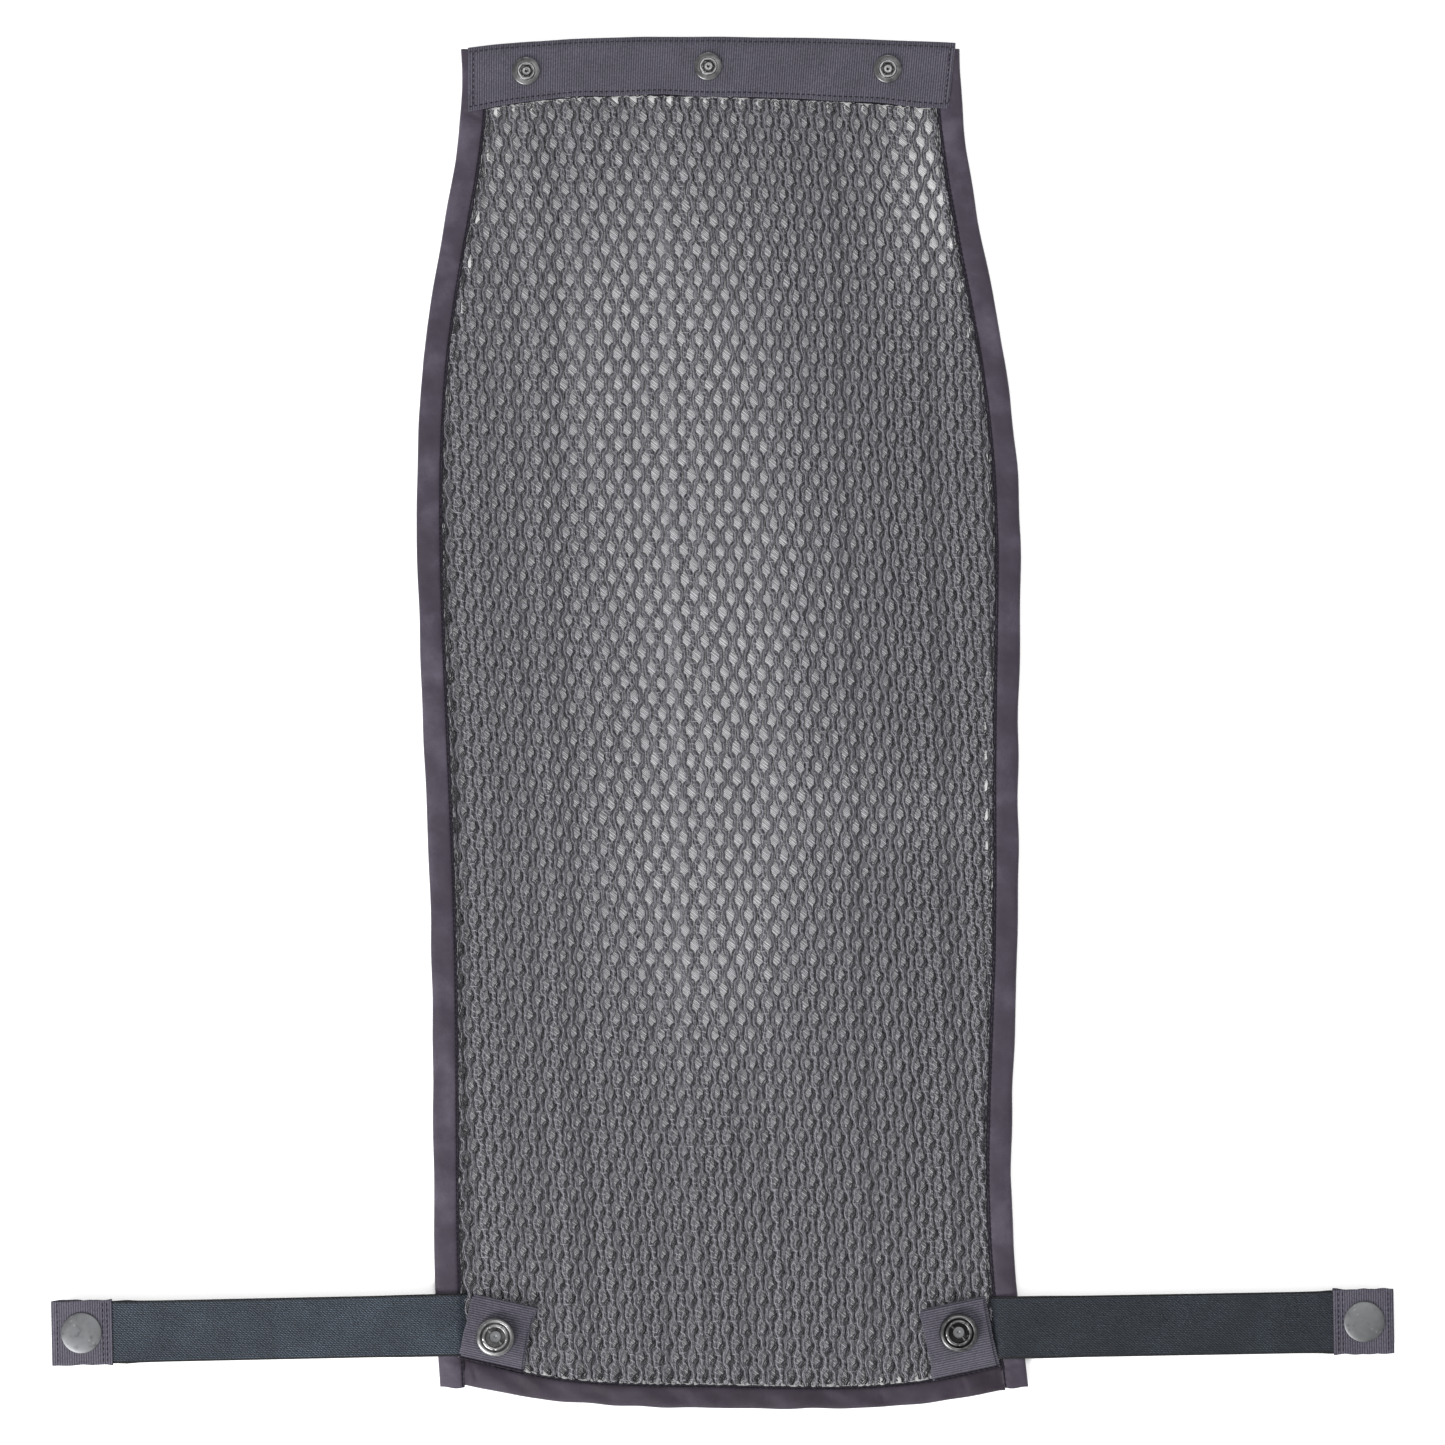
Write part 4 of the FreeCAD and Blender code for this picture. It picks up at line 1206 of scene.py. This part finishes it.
def make_strap(side):
    """A flat elastic from the seam to its end tab, with a cap above and a socket below."""
    root, _ = joint_of(f"{side}_strap_fold")
    _, along = joint_of(f"{side}_strap_stretch")
    _, elastic_end = reach_of(f"{side}_strap_elastic", root, along)
    tab_start, tab_end = reach_of(f"{side}_strap_tab", root, along)
    width = np.ptp(reach_of(f"{side}_strap_elastic", root, np.cross(UP, along)))
    middle = root[2]

    def place(distance):
        return tuple((root + along * distance) * MM)

    sewn_in = [(-4.6, 2.7), (-3.2, 3.3), (-1.6, 4.1), (0.4, middle - 0.05), (3.0, middle),
               (8.0, middle), (ELASTIC_ROOT, middle)]
    tone = 0.0 if side == "left" else -0.13
    foot, foot_length = elastic_part(f"{side}_strap_foot", sewn_in, root, along, width, -1, tone)
    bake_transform(foot)

    stretch = [(ELASTIC_ROOT, middle), (40.0, middle), (80.0, middle), (120.0, middle),
               (elastic_end, middle)]
    band, band_length = elastic_part(f"{side}_strap_band", stretch, root, along, width, 0, tone)
    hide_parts(f"{side}_strap_elastic")
    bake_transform(band)

    low, high = box_of(f"{side}_strap_tab")
    layer = 0.26
    top, bottom = high[2] - layer, low[2] + layer
    profile = [(tab_start, top - 0.05), (tab_start + 2.5, top - 0.12), (tab_start + 5, top),
               (tab_end - 4.0, top), (tab_end - 1.6, top - 0.15), (tab_end - 0.5, top - 0.6),
               (tab_end - 0.22, middle), (tab_end - 0.5, bottom + 0.6), (tab_end - 1.6, bottom + 0.15),
               (tab_end - 4.0, bottom), (tab_start + 5, bottom), (tab_start + 2.5, bottom + 0.12),
               (tab_start, bottom + 0.05)]
    tab_width = np.ptp(reach_of(f"{side}_strap_tab", root, np.cross(UP, along)))
    tape, total = fold_tape(f"{side}_strap_tape", profile, root, along, tab_width, sway=0.35)
    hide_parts(f"{side}_strap_tab")
    ride(tape, f"{side}_strap_end")
    make_snap(f"{side}_strap", f"{side}_strap_end", -1.0)

    sideways = np.cross(UP, along)
    rows = []
    for distance in (tab_start + 2.0, tab_start + 3.6, tab_end - 2.4):
        ends = [root + along * distance + sideways * reach for reach in (-tab_width / 2 + 0.8,
                                                                         tab_width / 2 - 0.8)]
        rows.append([(*end[:2], top + 0.2) for end in ends])
    make_stitches(f"{side}_strap_seams", rows, f"{side}_strap_end")
    under = [[(x, y, bottom - 0.2) for x, y, _ in row] for row in rows]
    make_stitches(f"{side}_strap_seams_under", under, f"{side}_strap_end", lift=-1.0)


# ---------------------------------------------------------------- the stage


def make_studio_light():
    """An even white room that shows only dimly in gloss, and lamps at the lower left and above."""
    world = bpy.data.worlds.new("studio")
    world.use_nodes = True
    tree = world.node_tree
    room = tree.nodes["Background"]
    room.inputs["Strength"].default_value = 0.84
    room.inputs["Color"].default_value = (1, 1, 1, 1)
    gloss = tree.nodes.new("ShaderNodeBackground")
    gloss.inputs["Strength"].default_value = 0.4
    gloss.inputs["Color"].default_value = (1, 1, 1, 1)
    mix = tree.nodes.new("ShaderNodeMixShader")
    ray = tree.nodes.new("ShaderNodeLightPath")
    tree.links.new(ray.outputs["Is Glossy Ray"], mix.inputs["Fac"])
    tree.links.new(room.outputs["Background"], mix.inputs[1])
    tree.links.new(gloss.outputs["Background"], mix.inputs[2])
    tree.links.new(mix.outputs["Shader"], tree.nodes["World Output"].inputs["Surface"])
    bpy.context.scene.world = world

    for name, place, across, power, diffuse in (
        ("key_light", (-1.0, -1.6, 1.4), 0.8, 42.0, 1.0),
        ("top_light", (0.5, 0.8, 2.8), 1.4, 28.0, 1.0),
        ("rim_light", (-1.4, -1.4, 0.9), 0.6, 18.0, 0.0),
    ):
        light = bpy.data.lights.new(name, "AREA")
        light.shape = "DISK"
        light.size = across
        light.energy = power
        light.diffuse_factor = diffuse
        lamp = bpy.data.objects.new(name, light)
        lamp.location = place
        lamp.rotation_euler = (-Vector(place)).to_track_quat("-Z", "Y").to_euler()
        lamp.visible_camera = False
        bpy.context.scene.collection.objects.link(lamp)


def make_stage():
    """A pale floor, soft studio light, and the camera straight above."""
    size = 8.0
    floor_mesh = bpy.data.meshes.new("floor")
    corners = [(-size, -size, 0), (size, -size, 0), (size, size, 0), (-size, size, 0)]
    floor_mesh.from_pydata(corners, [], [(0, 1, 2, 3)])
    floor = bpy.data.objects.new("floor", floor_mesh)
    floor.location.z = -0.0002
    bpy.context.scene.collection.objects.link(floor)
    look = Look("floor_paper", Roughness=0.9, Specular_IOR_Level=0.1,
                Emission_Color=(1.0, 1.0, 1.0, 1.0), Emission_Strength=0.22)
    look.colour(look.ramp(look.noise(60.0), (0.0, (0.9, 0.9, 0.9)), (1.0, (0.93, 0.93, 0.93))))
    floor_mesh.materials.append(look.material)

    make_studio_light()

    lens, sensor, picture_width, picture_plane = 150.0, 36.0, 563.55, 4.0
    camera = bpy.data.cameras.new("camera")
    camera.lens = lens
    camera.sensor_width = sensor
    camera.clip_end = 50.0
    eye = bpy.data.objects.new("camera", camera)
    eye.location = (0, 0, (picture_width * lens / sensor + picture_plane) * MM)
    bpy.context.scene.collection.objects.link(eye)
    bpy.context.scene.camera = eye
    bpy.context.scene.view_settings.view_transform = "Standard"


# ---------------------------------------------------------------- assembly

make_stage()
make_spacer_mesh()
make_bindings()
make_top_band()
for stud_name in STUDS:
    make_stud(stud_name)
    make_eyelet(stud_name)
for side_name in SIDES:
    make_corner_tab(side_name)
    make_strap(side_name)
